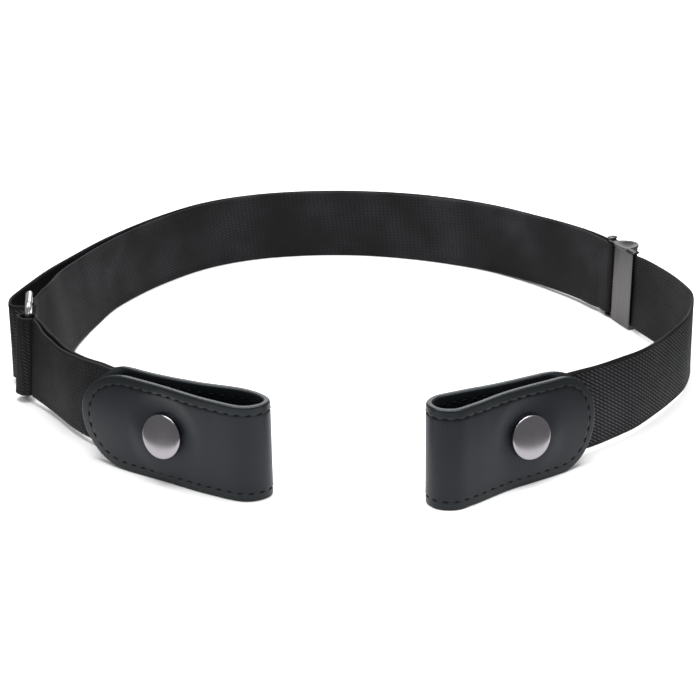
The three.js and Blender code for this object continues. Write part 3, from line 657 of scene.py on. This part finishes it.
class MetalParts:
    """Gathers several closed bodies into one mesh."""

    def __init__(self):
        self.vertices, self.faces, self.uvs = [], [], []

    def add(self, vertices, faces, uvs):
        first = len(self.vertices)
        self.vertices += vertices
        self.faces += [tuple(first + i for i in face) for face in faces]
        self.uvs += uvs

    def done(self, name, material):
        uvs = {"metal": self.uvs}
        return welded(make_object(name, self.vertices, self.faces, uvs, material))


# Snaps. Profiles hold a radius and a height above the leather's outer face.
TIP_RADIUS = 0.02  # a turned body closes with a face as small as this
CAP_RADIUS = SNAP_RADIUS + 0.15
CAP_TIP = math.tan(math.radians(4))  # how much more than its seat the cap tips up
SOCKET_RADIUS = 4.9
MOUTH_RADIUS = 2.5
POST_RADIUS = 1.2
CAP_INSETS = (
    (1.6, -0.6), (0.3, -0.6), (0.08, -0.4), (0, 0), (0, 1.45), (0.06, 1.65), (0.2, 1.82), (0.4, 1.93),
    (0.7, 2.02), (1.1, 2.1), (1.7, 2.19), (2.6, 2.28), (3.8, 2.36), (5.2, 2.41), (6.6, 2.43),
)
CAP_TOP = 2.44
CAP_PROFILE = [(CAP_RADIUS - inset, height) for inset, height in CAP_INSETS]
CAP_PROFILE.append((TIP_RADIUS, CAP_TOP))
SOCKET_PROFILE = (
    (POST_RADIUS, -2.2), (SOCKET_RADIUS - 0.3, -2.7), (SOCKET_RADIUS, -3),
    (SOCKET_RADIUS, -4.1), (SOCKET_RADIUS - 0.3, -4.5), (SOCKET_RADIUS - 0.8, -4.6),
    (MOUTH_RADIUS + 0.4, -4.6), (MOUTH_RADIUS, -4.3), (MOUTH_RADIUS, -3.4), (TIP_RADIUS, -3.4),
)


def lathe(profile, foot, axis, sides):
    """A turned body that stands on a foot along an axis: its vertices, faces and UV."""
    turn = Vector((0, 0, 1)).rotation_difference(axis)
    vertices, uvs = [], []
    for radius, height in profile:
        for angle in around(sides):
            local = Vector((radius * math.cos(angle), radius * math.sin(angle), height)) * MM
            vertices.append(foot + turn @ local)
            uvs.append((radius * MM, angle / math.tau))
    return vertices, body_faces(len(profile), sides), uvs


def snap_cap(name, tab, material):
    """The cap's dome, tipped with its seat, and the socket behind the flap."""
    line, side = tab["line"], tab["side"]
    distance = snap_distance(tab)
    x, y = line.at(distance)
    along = line.along(distance)
    outward = (side * along[1], -side * along[0])
    foot = stand(x, y, MID_HEIGHT, tab["stance"])
    above = stand(x, y, MID_HEIGHT + 1, tab["stance"])
    rise = -((above.x - foot.x) * outward[0] + (above.y - foot.y) * outward[1]) / MM
    straight = Vector((outward[0], outward[1], rise)).normalized()
    seated = Vector((
        outward[0] + along[0] * SEAT["turn"],
        outward[1] + along[1] * SEAT["turn"],
        rise + tab["rise"] + CAP_TIP,
    )).normalized()
    parts = MetalParts()
    parts.add(*lathe(CAP_PROFILE, foot, seated, sides=96))
    parts.add(*lathe(SOCKET_PROFILE, foot, straight, sides=48))
    return parts.done(name, material)


RING_CORNER = 2.0
RING_SIDES = 24


def ring_wire(name, material):
    """Wire bent to a rectangle round the line between the ring's two bars."""
    along = (FRONT_BAR[0] - REAR_BAR[0], FRONT_BAR[1] - REAR_BAR[1])
    reach = math.hypot(*along)
    top = RING_HEIGHT / 2 - RING_WIRE / 2
    middle = ((REAR_BAR[0] + FRONT_BAR[0]) / 2, (REAR_BAR[1] + FRONT_BAR[1]) / 2)
    corners = (
        (reach / 2, top, 0), (-reach / 2, top, math.pi / 2),
        (-reach / 2, -top, math.pi), (reach / 2, -top, math.pi * 1.5),
    )
    path = []
    for u, v, start in corners:
        bend = (u - math.copysign(RING_CORNER, u), v - math.copysign(RING_CORNER, v))
        for angle in stations(start, start + math.pi / 2, math.pi / 20):
            path.append((*bend, angle))
    vertices, uvs = [], []
    for i, (u, v, angle) in enumerate(path):
        for k, turn in enumerate(around(RING_SIDES)):
            out = RING_CORNER + RING_WIRE / 2 * math.cos(turn)
            aside = RING_WIRE / 2 * math.sin(turn)
            du = u + out * math.cos(angle)
            dz = v + out * math.sin(angle)
            x = middle[0] + (along[0] * du - along[1] * aside) / reach
            y = middle[1] + (along[1] * du + along[0] * aside) / reach
            vertices.append(stand(x, y, MID_HEIGHT + dz, RING_STANCE))
            uvs.append((i / len(path), k / RING_SIDES))
    faces = grid_faces(len(path), RING_SIDES)
    last = (len(path) - 1) * RING_SIDES
    for k in range(RING_SIDES):
        j = (k + 1) % RING_SIDES
        faces.append((last + k, last + j, j, k))
    return welded(make_object(name, vertices, faces, {"wire": uvs}, material))


# The clip, in its own frame: a folded plate, its ears and arms, and a headed bar
CLIP_TALL = STRAP_WIDTH + 3.4
PLATE_CREASE = {"x": 2.4, "drop": 0.45}
PLATE_ROUND = 0.3
PLATE_EDGE = (0, 0.04, 0.12, PLATE_ROUND)
PLATE_BEND = 1.3
PLATE_FLANGE = 1.6
EAR = {"x": 2.8, "outward": 7.3, "inward": 2.1, "half": 5.6}
LOW_EAR_INWARD = 0.4
EAR_PROUD = 0.1
EAR_ROOT = PLATE_FACE - 1
PIVOT = (2.4, PLATE_FACE - 6.6)
PIN_RADIUS = 0.7
ARM_ROOT = 3  # the arm grows out of this much of the plate's end
ARM_NECK = 1.6
ARM_END = 1.5
BAR_HEAD = {"radius": 1.6, "tall": 0.8, "longer": 0.5}
END_PLAY = 0.1
SLAB_ROUND = 0.15
HOLE_EDGE = 0.08

# A slab's rounded edge: inset and height from its face, as shares of the rounding
SLAB_EDGE = ((2, 0), (1, 0), (0.3, 0.3), (0, 1))


def clip_point(x, y, z):
    px, py = from_clip(x, y)
    return Vector((px - MIDDLE[0], py - MIDDLE[1], z)) * MM


def clip_circle(centre, radius, z, segments):
    x, y = centre
    return [clip_point(x + radius * math.cos(a), y + radius * math.sin(a), z) for a in around(segments)]


class ClipParts(MetalParts):
    """Bodies in the clip's own frame."""

    def rings(self, rings, faces):
        points = [point for ring in rings for point in ring]
        self.add(points, faces, [(point.x, point.z) for point in points])

    def loft(self, rings):
        """A closed body through rings of points."""
        self.rings(rings, body_faces(len(rings), len(rings[0])))

    def slab(self, outline, low, high, hole=None):
        """An upright prism of an outline in the clip's plan, with rounded edges and perhaps a hole."""
        middle = [sum(values) / len(outline) for values in zip(*outline)]

        def ring(inset, z):
            points = []
            for x, y in outline:
                dx, dy = x - middle[0], y - middle[1]
                share = 1 - inset * SLAB_ROUND / math.hypot(dx, dy)
                points.append(clip_point(middle[0] + dx * share, middle[1] + dy * share, z))
            return points

        under = [ring(inset, low + rise * SLAB_ROUND) for inset, rise in SLAB_EDGE]
        over = [ring(inset, high - rise * SLAB_ROUND) for inset, rise in reversed(SLAB_EDGE)]
        if hole is None:
            self.loft(under + over)
            return
        centre, radius = hole
        size = len(outline)
        low_hole = clip_circle(centre, radius, low + HOLE_EDGE, size)
        low_rim = clip_circle(centre, radius + HOLE_EDGE, low, size)
        high_rim = clip_circle(centre, radius + HOLE_EDGE, high, size)
        high_hole = clip_circle(centre, radius, high - HOLE_EDGE, size)
        rings = [low_hole, low_rim, *under, *over, high_rim, high_hole, low_hole]
        self.rings(rings, grid_faces(len(rings), size))


def plate_section(x):
    """The folded sheet's outline in Y and Z at a place along the strap, inside face first."""
    drop = PLATE_CREASE["drop"] * max(0, (x - PLATE_CREASE["x"]) / (HALF_CLIP - PLATE_CREASE["x"]))
    near_edge = max(0, PLATE_ROUND - (HALF_CLIP - abs(x)))
    thin = PLATE_ROUND - math.sqrt(max(0, PLATE_ROUND ** 2 - near_edge ** 2))
    middle = CLIP_TALL / 2
    face = PLATE_FACE - drop
    flange = face - PLATE_BEND - PLATE_FLANGE
    inside = [(flange, 0)]
    inside += arc((face - PLATE_BEND, PLATE_BEND), PLATE_BEND, -math.pi / 2, 0, segments=8)
    inside += [(y, CLIP_TALL - z) for y, z in reversed(inside)]
    outside = []
    for y, z in inside:
        outside.append((max(y - SHEET, flange), middle + (z - middle) * (1 - SHEET / middle)))
    shrink = 1 - thin / middle
    inside = [(y - thin, middle + (z - middle) * shrink) for y, z in inside]
    outside = [(y + thin, z) for y, z in outside]
    return inside + outside[::-1]


def plate_places():
    """Places along the plate: close together at its ends, with one at the crease."""
    start = [-HALF_CLIP + inset for inset in PLATE_EDGE]
    before_crease = stations(-HALF_CLIP + PLATE_ROUND, PLATE_CREASE["x"], 1)[1:]
    after_crease = stations(PLATE_CREASE["x"], HALF_CLIP - PLATE_ROUND, 1)[1:]
    end = [HALF_CLIP - inset for inset in reversed(PLATE_EDGE[:-1])]
    return start + before_crease + after_crease + end


def ear_outline():
    ear = []
    for angle in around(segments=48):
        reach = EAR["inward"] if math.sin(angle) > 0 else EAR["outward"]
        ear.append((EAR["x"] + EAR["half"] * math.cos(angle), EAR_ROOT + reach * math.sin(angle)))
    return ear


def clip_plate(name, material):
    """The folded plate with its two ears, and the two arms that hold the bar."""
    parts = ClipParts()
    parts.loft([[clip_point(x, y, z) for y, z in reversed(plate_section(x))] for x in plate_places()])
    ear = ear_outline()
    low_ear = [(x, min(y, EAR_ROOT + LOW_EAR_INWARD)) for x, y in ear]
    parts.slab(low_ear, 0, SHEET)
    parts.slab(ear, CLIP_TALL - SHEET, CLIP_TALL + EAR_PROUD, (PIVOT, PIN_RADIUS + PIN_GAP))
    arm = [(HALF_CLIP - ARM_ROOT, EAR_ROOT), (HALF_CLIP - ARM_ROOT, EAR_ROOT - ARM_NECK)]
    arm += arc(BAR, ARM_END, -math.pi / 2, math.pi / 2, segments=12)
    for low in (0, CLIP_TALL - SHEET):
        parts.slab(arm, low, low + SHEET)
    return parts.done(name, material)


def clip_pin(name, material):
    """The bar that the strap's end is looped round, with an oval head."""
    seat = CLIP_TALL + PIN_GAP
    head, tall = BAR_HEAD["radius"], BAR_HEAD["tall"]
    profile = (
        (BAR_RADIUS, END_PLAY), (BAR_RADIUS, seat - 0.1), (head - 0.25, seat - 0.05),
        (head, seat + 0.2), (head, seat + tall - 0.25), (head - 0.3, seat + tall),
        (TIP_RADIUS, seat + tall + 0.05),
    )
    rings = []
    for radius, z in profile:
        long = radius + BAR_HEAD["longer"] * max(0, radius - BAR_RADIUS)
        rings.append([
            clip_point(BAR[0] + radius * math.cos(a), BAR[1] + long * math.sin(a), z)
            for a in around(segments=24)
        ])
    parts = ClipParts()
    parts.loft(rings)
    return parts.done(name, material)


# Materials
class Nodes:
    """A small helper for a material's node tree."""

    def __init__(self, name):
        self.material = bpy.data.materials.new(name)
        self.material.use_nodes = True
        self.tree = self.material.node_tree
        self.shader = self.tree.nodes["Principled BSDF"]

    def node(self, kind, **settings):
        made = self.tree.nodes.new(kind)
        for key, value in settings.items():
            setattr(made, key, value)
        return made

    def put(self, value, socket):
        """Sets a socket to a constant, or links another node's output to it."""
        if isinstance(value, (int, float, tuple)):
            socket.default_value = value
        else:
            self.tree.links.new(value, socket)

    def math(self, operation, *values):
        made = self.node("ShaderNodeMath", operation=operation)
        for socket, value in zip(made.inputs, values):
            self.put(value, socket)
        return made.outputs[0]

    def add(self, first, second):
        return self.math("ADD", first, second)

    def less(self, first, second):
        return self.math("SUBTRACT", first, second)

    def times(self, first, second):
        return self.math("MULTIPLY", first, second)

    def mix(self, factor, first, second):
        made = self.node("ShaderNodeMix", data_type="RGBA")
        self.put(factor, made.inputs["Factor"])
        self.put(first, made.inputs["A"])
        self.put(second, made.inputs["B"])
        return made.outputs["Result"]

    def uv(self, layer):
        split = self.node("ShaderNodeSeparateXYZ")
        self.put(self.node("ShaderNodeUVMap", uv_map=layer).outputs[0], split.inputs[0])
        return split.outputs[0], split.outputs[1]

    def place(self):
        return self.node("ShaderNodeTexCoord").outputs["Object"]

    def noise(self, scale, detail, stretch=None):
        made = self.node("ShaderNodeTexNoise")
        made.inputs["Scale"].default_value = scale
        made.inputs["Detail"].default_value = detail
        vector = self.place()
        if stretch is not None:
            mapping = self.node("ShaderNodeMapping")
            mapping.inputs["Scale"].default_value = stretch
            self.put(vector, mapping.inputs["Vector"])
            vector = mapping.outputs[0]
        self.put(vector, made.inputs["Vector"])
        return made.outputs["Fac"]

    def ramp(self, value, *stops):
        made = self.node("ShaderNodeValToRGB")
        elements = made.color_ramp.elements
        while len(elements) < len(stops):
            elements.new(0.5)
        for element, (place, colour) in zip(elements, stops):
            element.position = place
            element.color = (*colour, 1)
        self.put(value, made.inputs[0])
        return made.outputs[0]

    def range(self, value, low, high, to_low=0.0, to_high=1.0):
        made = self.node("ShaderNodeMapRange")
        for socket, number in zip(list(made.inputs)[1:5], (low, high, to_low, to_high)):
            socket.default_value = number
        self.put(value, made.inputs[0])
        return made.outputs[0]

    def bump(self, height, distance, strength):
        made = self.node("ShaderNodeBump")
        made.inputs["Distance"].default_value = distance
        made.inputs["Strength"].default_value = strength
        self.put(height, made.inputs["Height"])
        return made.outputs[0]

    def set(self, **values):
        for key, value in values.items():
            self.put(value, self.shader.inputs[key.replace("_", " ")])


# Elastic: the twill's sizes, then what the weave, the fuzz, the cloudy patches and a seam do. The weave
# paints shade and highlight on the ribs, and the seam darkens the colour as painted shade in its crease.
TWILL_PITCH = 1.1 * MM
TWILL_ANGLE = math.radians(33)
DASH_LENGTH = 2.4 * MM
DASH_SHIFT = 0.37  # each rib's dashes are this share of a dash along from its neighbour's
DASH_BLUNT = 0.4
DASH_DEPTH = 0.6
MEAN_RIB = 0.5
PLAIN_FADE = ((STRAP_WIDTH / 2 - 1) * MM, (STRAP_WIDTH / 2 - 1.5) * MM)
PLAIN_WEAVE = 0.55
FUZZ_SCALE = 2600
FUZZ_RELIEF = 0.3
PATCH_SCALE = 35
PATCH_TONE = 0.35
RIB_PAINTED_SHADE = 0.75
SEAM_PAINTED_SHADE = 0.9
WEAVE_BUMP = 0.34 * MM
ELASTIC_ROUGHNESS = (0.62, 0.8)
# Colours along the tone: the low end is painted shade in the ribs' grooves, the high end a painted
# highlight on their tops.
ELASTIC_TONE_AND_SHADE_RAMP = (
    (0.2, (0.0003, 0.0003, 0.0004)),
    (0.55, (0.0042, 0.0042, 0.0052)),
    (0.95, (0.075, 0.075, 0.082)),
)


def twill(nodes, run, height):
    """The relief of slanted ribs in short staggered dashes."""
    sine, cosine = math.sin(TWILL_ANGLE), math.cos(TWILL_ANGLE)
    across = nodes.add(nodes.times(run, sine / TWILL_PITCH), nodes.times(height, cosine / TWILL_PITCH))
    along = nodes.less(nodes.times(run, cosine / DASH_LENGTH), nodes.times(height, sine / DASH_LENGTH))
    shifted = nodes.add(along, nodes.times(nodes.math("FLOOR", across), DASH_SHIFT))
    rib, hump = (
        nodes.math("ABSOLUTE", nodes.math("SINE", nodes.times(value, math.pi)))
        for value in (across, shifted)
    )
    dash = nodes.times(nodes.math("POWER", hump, DASH_BLUNT), DASH_DEPTH)
    return nodes.times(rib, nodes.add(dash, 1 - DASH_DEPTH))


def elastic_material():
    """Black elastic: twill ribs with painted shade in their grooves and a painted highlight on their tops,
    a plain selvedge, a fine fuzz and painted shade in a seam's crease.
    """
    nodes = Nodes("black_elastic")
    run, height = nodes.uv("cloth")
    depth, seam = nodes.uv("face")
    ribs = nodes.less(twill(nodes, run, height), MEAN_RIB)
    weave = nodes.add(nodes.times(ribs, depth), MEAN_RIB)
    from_middle = nodes.math("ABSOLUTE", nodes.less(height, STRAP_WIDTH / 2 * MM))
    body = nodes.range(from_middle, *PLAIN_FADE)
    plain = nodes.times(nodes.less(1.0, body), PLAIN_WEAVE)
    weave = nodes.add(nodes.times(weave, body), plain)
    fuzz = nodes.noise(FUZZ_SCALE, 3)
    patch = nodes.noise(PATCH_SCALE, 2)
    relief = nodes.add(weave, nodes.times(fuzz, FUZZ_RELIEF))
    # Painted shade and highlight: the colour follows the weave's relief, darker in the grooves and paler
    # on the ribs' tops.
    tone = nodes.add(nodes.times(weave, RIB_PAINTED_SHADE), nodes.times(patch, PATCH_TONE))
    # Painted shade: the colour is darkened where the seam pinches the two layers, for the shade in its
    # crease.
    tone = nodes.less(tone, nodes.times(seam, SEAM_PAINTED_SHADE))
    nodes.set(
        Base_Color=nodes.ramp(tone, *ELASTIC_TONE_AND_SHADE_RAMP),
        Roughness=nodes.range(fuzz, 0.2, 0.8, *ELASTIC_ROUGHNESS),
        Normal=nodes.bump(relief, WEAVE_BUMP, 1.0),
        Specular_IOR_Level=0.19,
    )
    return nodes.material


# Leather: its grain, its clouded tones, and how the border, the painted shade along the seam's groove and
# the painted edge fade in
FACE_TONES = ((0.3, (0.0050, 0.0058, 0.0084)), (0.7, (0.0066, 0.0076, 0.0106)))
BORDER_TONES = ((0.3, (0.0075, 0.0095, 0.0105)), (0.7, (0.0100, 0.0125, 0.0135)))
# Near-black colour mixed in along the seam's groove: painted shade in the recess.
GROOVE_PAINTED_SHADE_COLOUR = (0.002, 0.002, 0.0025, 1)
GROOVE_PAINTED_SHADE_AMOUNT = 0.12
GRAIN_SCALE = 1500
PORE_WIDTH = 0.25
PORE_RELIEF = 0.5
FINE_SCALE = 900
FINE_RELIEF = 0.6
CLOUD_SCALE = 60
BORDER_FADE = ((SEAM_INSET + 0.1) * MM, (SEAM_INSET - 0.5) * MM)
GROOVE_FADE = (0.6 * MM, 0.2 * MM)
PAINT_FADE = (0.5 * MM, 0.2 * MM)
PAINT_SHINE = 0.1
GRAIN_BUMP = 0.05 * MM
LEATHER_ROUGHNESS = (0.32, 0.42)


def leather_material():
    """Charcoal leather: a fine satin grain, painted shade along the seam groove, a paler border and a
    painted edge.
    """
    nodes = Nodes("charcoal_leather")
    inset, _ = nodes.uv("edge")
    grain = nodes.node("ShaderNodeTexVoronoi", feature="DISTANCE_TO_EDGE")
    grain.inputs["Scale"].default_value = GRAIN_SCALE
    nodes.put(nodes.place(), grain.inputs["Vector"])
    pores = nodes.range(grain.outputs["Distance"], 0.0, PORE_WIDTH)
    cloud = nodes.noise(CLOUD_SCALE, 3)
    fine = nodes.noise(FINE_SCALE, 3)
    border = nodes.range(inset, *BORDER_FADE)
    groove = nodes.range(nodes.math("ABSOLUTE", nodes.less(inset, SEAM_INSET * MM)), *GROOVE_FADE)
    painted = nodes.range(inset, *PAINT_FADE)
    colour = nodes.mix(border, nodes.ramp(cloud, *FACE_TONES), nodes.ramp(cloud, *BORDER_TONES))
    relief = nodes.add(nodes.times(pores, PORE_RELIEF), nodes.times(fine, FINE_RELIEF))
    satin = nodes.range(fine, 0.2, 0.8, *LEATHER_ROUGHNESS)
    nodes.set(
        # Painted shade: the colour darkens towards near-black along the seam's groove.
        Base_Color=nodes.mix(nodes.times(groove, GROOVE_PAINTED_SHADE_AMOUNT), colour, GROOVE_PAINTED_SHADE_COLOUR),
        Roughness=nodes.less(satin, nodes.times(painted, PAINT_SHINE)),
        Normal=nodes.bump(relief, GRAIN_BUMP, 0.4),
        Specular_IOR_Level=0.28,
        Specular_Tint=(0.88, 0.94, 1.0, 1.0),
    )
    return nodes.material


TWISTS = 9000  # radians of the thread's twist in a metre
TWIST_TONE = 0.3
TWIST_BUMP = 0.04 * MM
THREAD_TONES = ((0.2, (0.0005, 0.0005, 0.0006)), (0.9, (0.003, 0.003, 0.0035)))


def thread_material():
    """Black sewing thread with a twist."""
    nodes = Nodes("black_thread")
    run, turn = nodes.uv("thread")
    twist = nodes.math("SINE", nodes.add(nodes.times(run, TWISTS), nodes.times(turn, math.tau)))
    tone = nodes.add(nodes.times(twist, TWIST_TONE), nodes.noise(1200, 2))
    nodes.set(
        Base_Color=nodes.ramp(tone, *THREAD_TONES),
        Normal=nodes.bump(twist, TWIST_BUMP, 0.6),
        Roughness=0.5,
        Specular_IOR_Level=0.12,
    )
    return nodes.material


BRUSH_STRETCH = (900, 900, 60)


def metal_material(name, dark, light, roughness, brush_depth=0.0):
    """Plated metal with upright brush marks, which may also be a fine relief of this depth."""
    nodes = Nodes(name)
    brushed = nodes.noise(1.0, 3, stretch=BRUSH_STRETCH)
    cloud = nodes.noise(90, 2)
    tone = nodes.add(nodes.times(brushed, 0.5), nodes.times(cloud, 0.5))
    nodes.set(
        Base_Color=nodes.ramp(tone, (0.3, dark), (0.7, light)),
        Metallic=1.0,
        Roughness=nodes.range(cloud, 0.3, 0.7, roughness * 0.9, roughness * 1.1),
    )
    if brush_depth:
        nodes.set(Normal=nodes.bump(brushed, brush_depth * MM, 0.3))
    return nodes.material


def floor_material():
    nodes = Nodes("studio_floor")
    nodes.set(
        Base_Color=nodes.ramp(nodes.noise(3, 2), (0.3, (0.90, 0.90, 0.90)), (0.7, (0.92, 0.92, 0.92))),
        Roughness=0.9,
        Specular_IOR_Level=0.0,
    )
    return nodes.material


# Pieces
elastic = elastic_material()
leather = leather_material()
thread = thread_material()
gunmetal = metal_material("gunmetal", (0.083, 0.079, 0.081), (0.108, 0.103, 0.106), 0.36, 0.006)
cap_metal = metal_material("cap_metal", (0.28, 0.268, 0.285), (0.31, 0.297, 0.315), 0.2)
silver = metal_material("polished_wire", (0.60, 0.60, 0.61), (0.66, 0.66, 0.67), 0.27)


def dress(piece, slot, *replaced, body="belt"):
    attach(piece, body)
    if replaced:
        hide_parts(*replaced)


dress(strap("main_strap_cloth", long_strap_path(), STANCE, elastic), "elastic", "main_strap")
dress(strap("short_strap_cloth", short_strap_path(), FRONT_LEFT_STANCE, elastic), "elastic", "short_strap")
for side_name, tab in (("left", LEFT), ("right", RIGHT)):
    dress(leather_tab(side_name + "_tab_leather", tab, leather), "leather", side_name + "_tab")
    dress(stitches(side_name + "_tab_stitches", tab, thread), "leather")
    dress(snap_cap(side_name + "_cap_dome", tab, cap_metal), "gunmetal", side_name + "_snap_cap")
dress(ring_wire("ring_wire", silver), "polished_wire", "ring")

dress(clip_plate("clip_plate_sheet", gunmetal), "gunmetal", "clip_plate")
dress(clip_pin("clip_bar_pin", gunmetal), "gunmetal", "clip_bar")

for node in ("clip_lever", "left_snap_stud", "right_snap_stud"):
    kept = frame["nodes"][node]
    kept.data.materials.clear()
    kept.data.materials.append(gunmetal)


# Studio, in metres. The belt stands on a white sheet that widens away from the camera, with the
# grey world beyond it for the caps to reflect. Each edge of the sheet: y, half its width.
SHEET_EDGES = ((-0.266, 0.097), (0.95, 0.34))
WORLD_STRENGTH = 0.3

# Lights: name, place, target, size and power
LIGHTS = (
    ("overhead", (0, 0.05, 1.6), (0, 0.12, 0), 1.6, 46),
    ("back_box", (0, 1.9, 0.85), (0, 0, 0.03), 1.2, 8),
    ("left_box", (-1.2, -0.8, 1.7), (0, 0, 0.02), 0.9, 9),
    ("right_box", (1.3, -0.5, 1.6), (0, 0, 0.02), 0.9, 7),
)


def floor():
    (front, near), (back, far) = SHEET_EDGES
    corners = [(-near, front, 0), (near, front, 0), (far, back, 0), (-far, back, 0)]
    uvs = [(x, y) for x, y, _ in corners]
    make_object("studio_floor", corners, [(0, 1, 2, 3)], {"floor": uvs}, floor_material())


def area_light(name, place, target, size, power):
    lamp = bpy.data.lights.new(name, "AREA")
    lamp.shape = "DISK"
    lamp.size = size
    lamp.energy = power
    made = bpy.data.objects.new(name, lamp)
    made.location = place
    made.rotation_euler = (Vector(target) - Vector(place)).to_track_quat("-Z", "Y").to_euler()
    bpy.context.scene.collection.objects.link(made)


def world():
    made = bpy.data.worlds.new("studio_world")
    made.use_nodes = True
    background = made.node_tree.nodes["Background"]
    background.inputs["Color"].default_value = (1, 1, 1, 1)
    background.inputs["Strength"].default_value = WORLD_STRENGTH
    bpy.context.scene.world = made


# The camera looks down at a point of the plan tables, from this far away and at this angle
CAMERA_DISTANCE = 700
CAMERA_HEIGHT_ANGLE = math.radians(22)
CAMERA_TARGET = (-1.0, 10.5, 0.0)
CAMERA_LENS = 90
CAMERA_SENSOR = 36


def camera():
    data = bpy.data.cameras.new("camera")
    data.lens = CAMERA_LENS
    data.sensor_width = CAMERA_SENSOR
    made = bpy.data.objects.new("camera", data)
    x, y, z = CAMERA_TARGET
    target = Vector((x - MIDDLE[0], y - MIDDLE[1], z)) * MM
    lift = Vector((0, -math.cos(CAMERA_HEIGHT_ANGLE), math.sin(CAMERA_HEIGHT_ANGLE)))
    made.location = target + lift * (CAMERA_DISTANCE * MM)
    made.rotation_euler = (math.pi / 2 - CAMERA_HEIGHT_ANGLE, 0, 0)
    bpy.context.scene.collection.objects.link(made)
    bpy.context.scene.camera = made


floor()
world()
for light in LIGHTS:
    area_light(*light)
bpy.context.scene.view_settings.view_transform = "Standard"
camera()
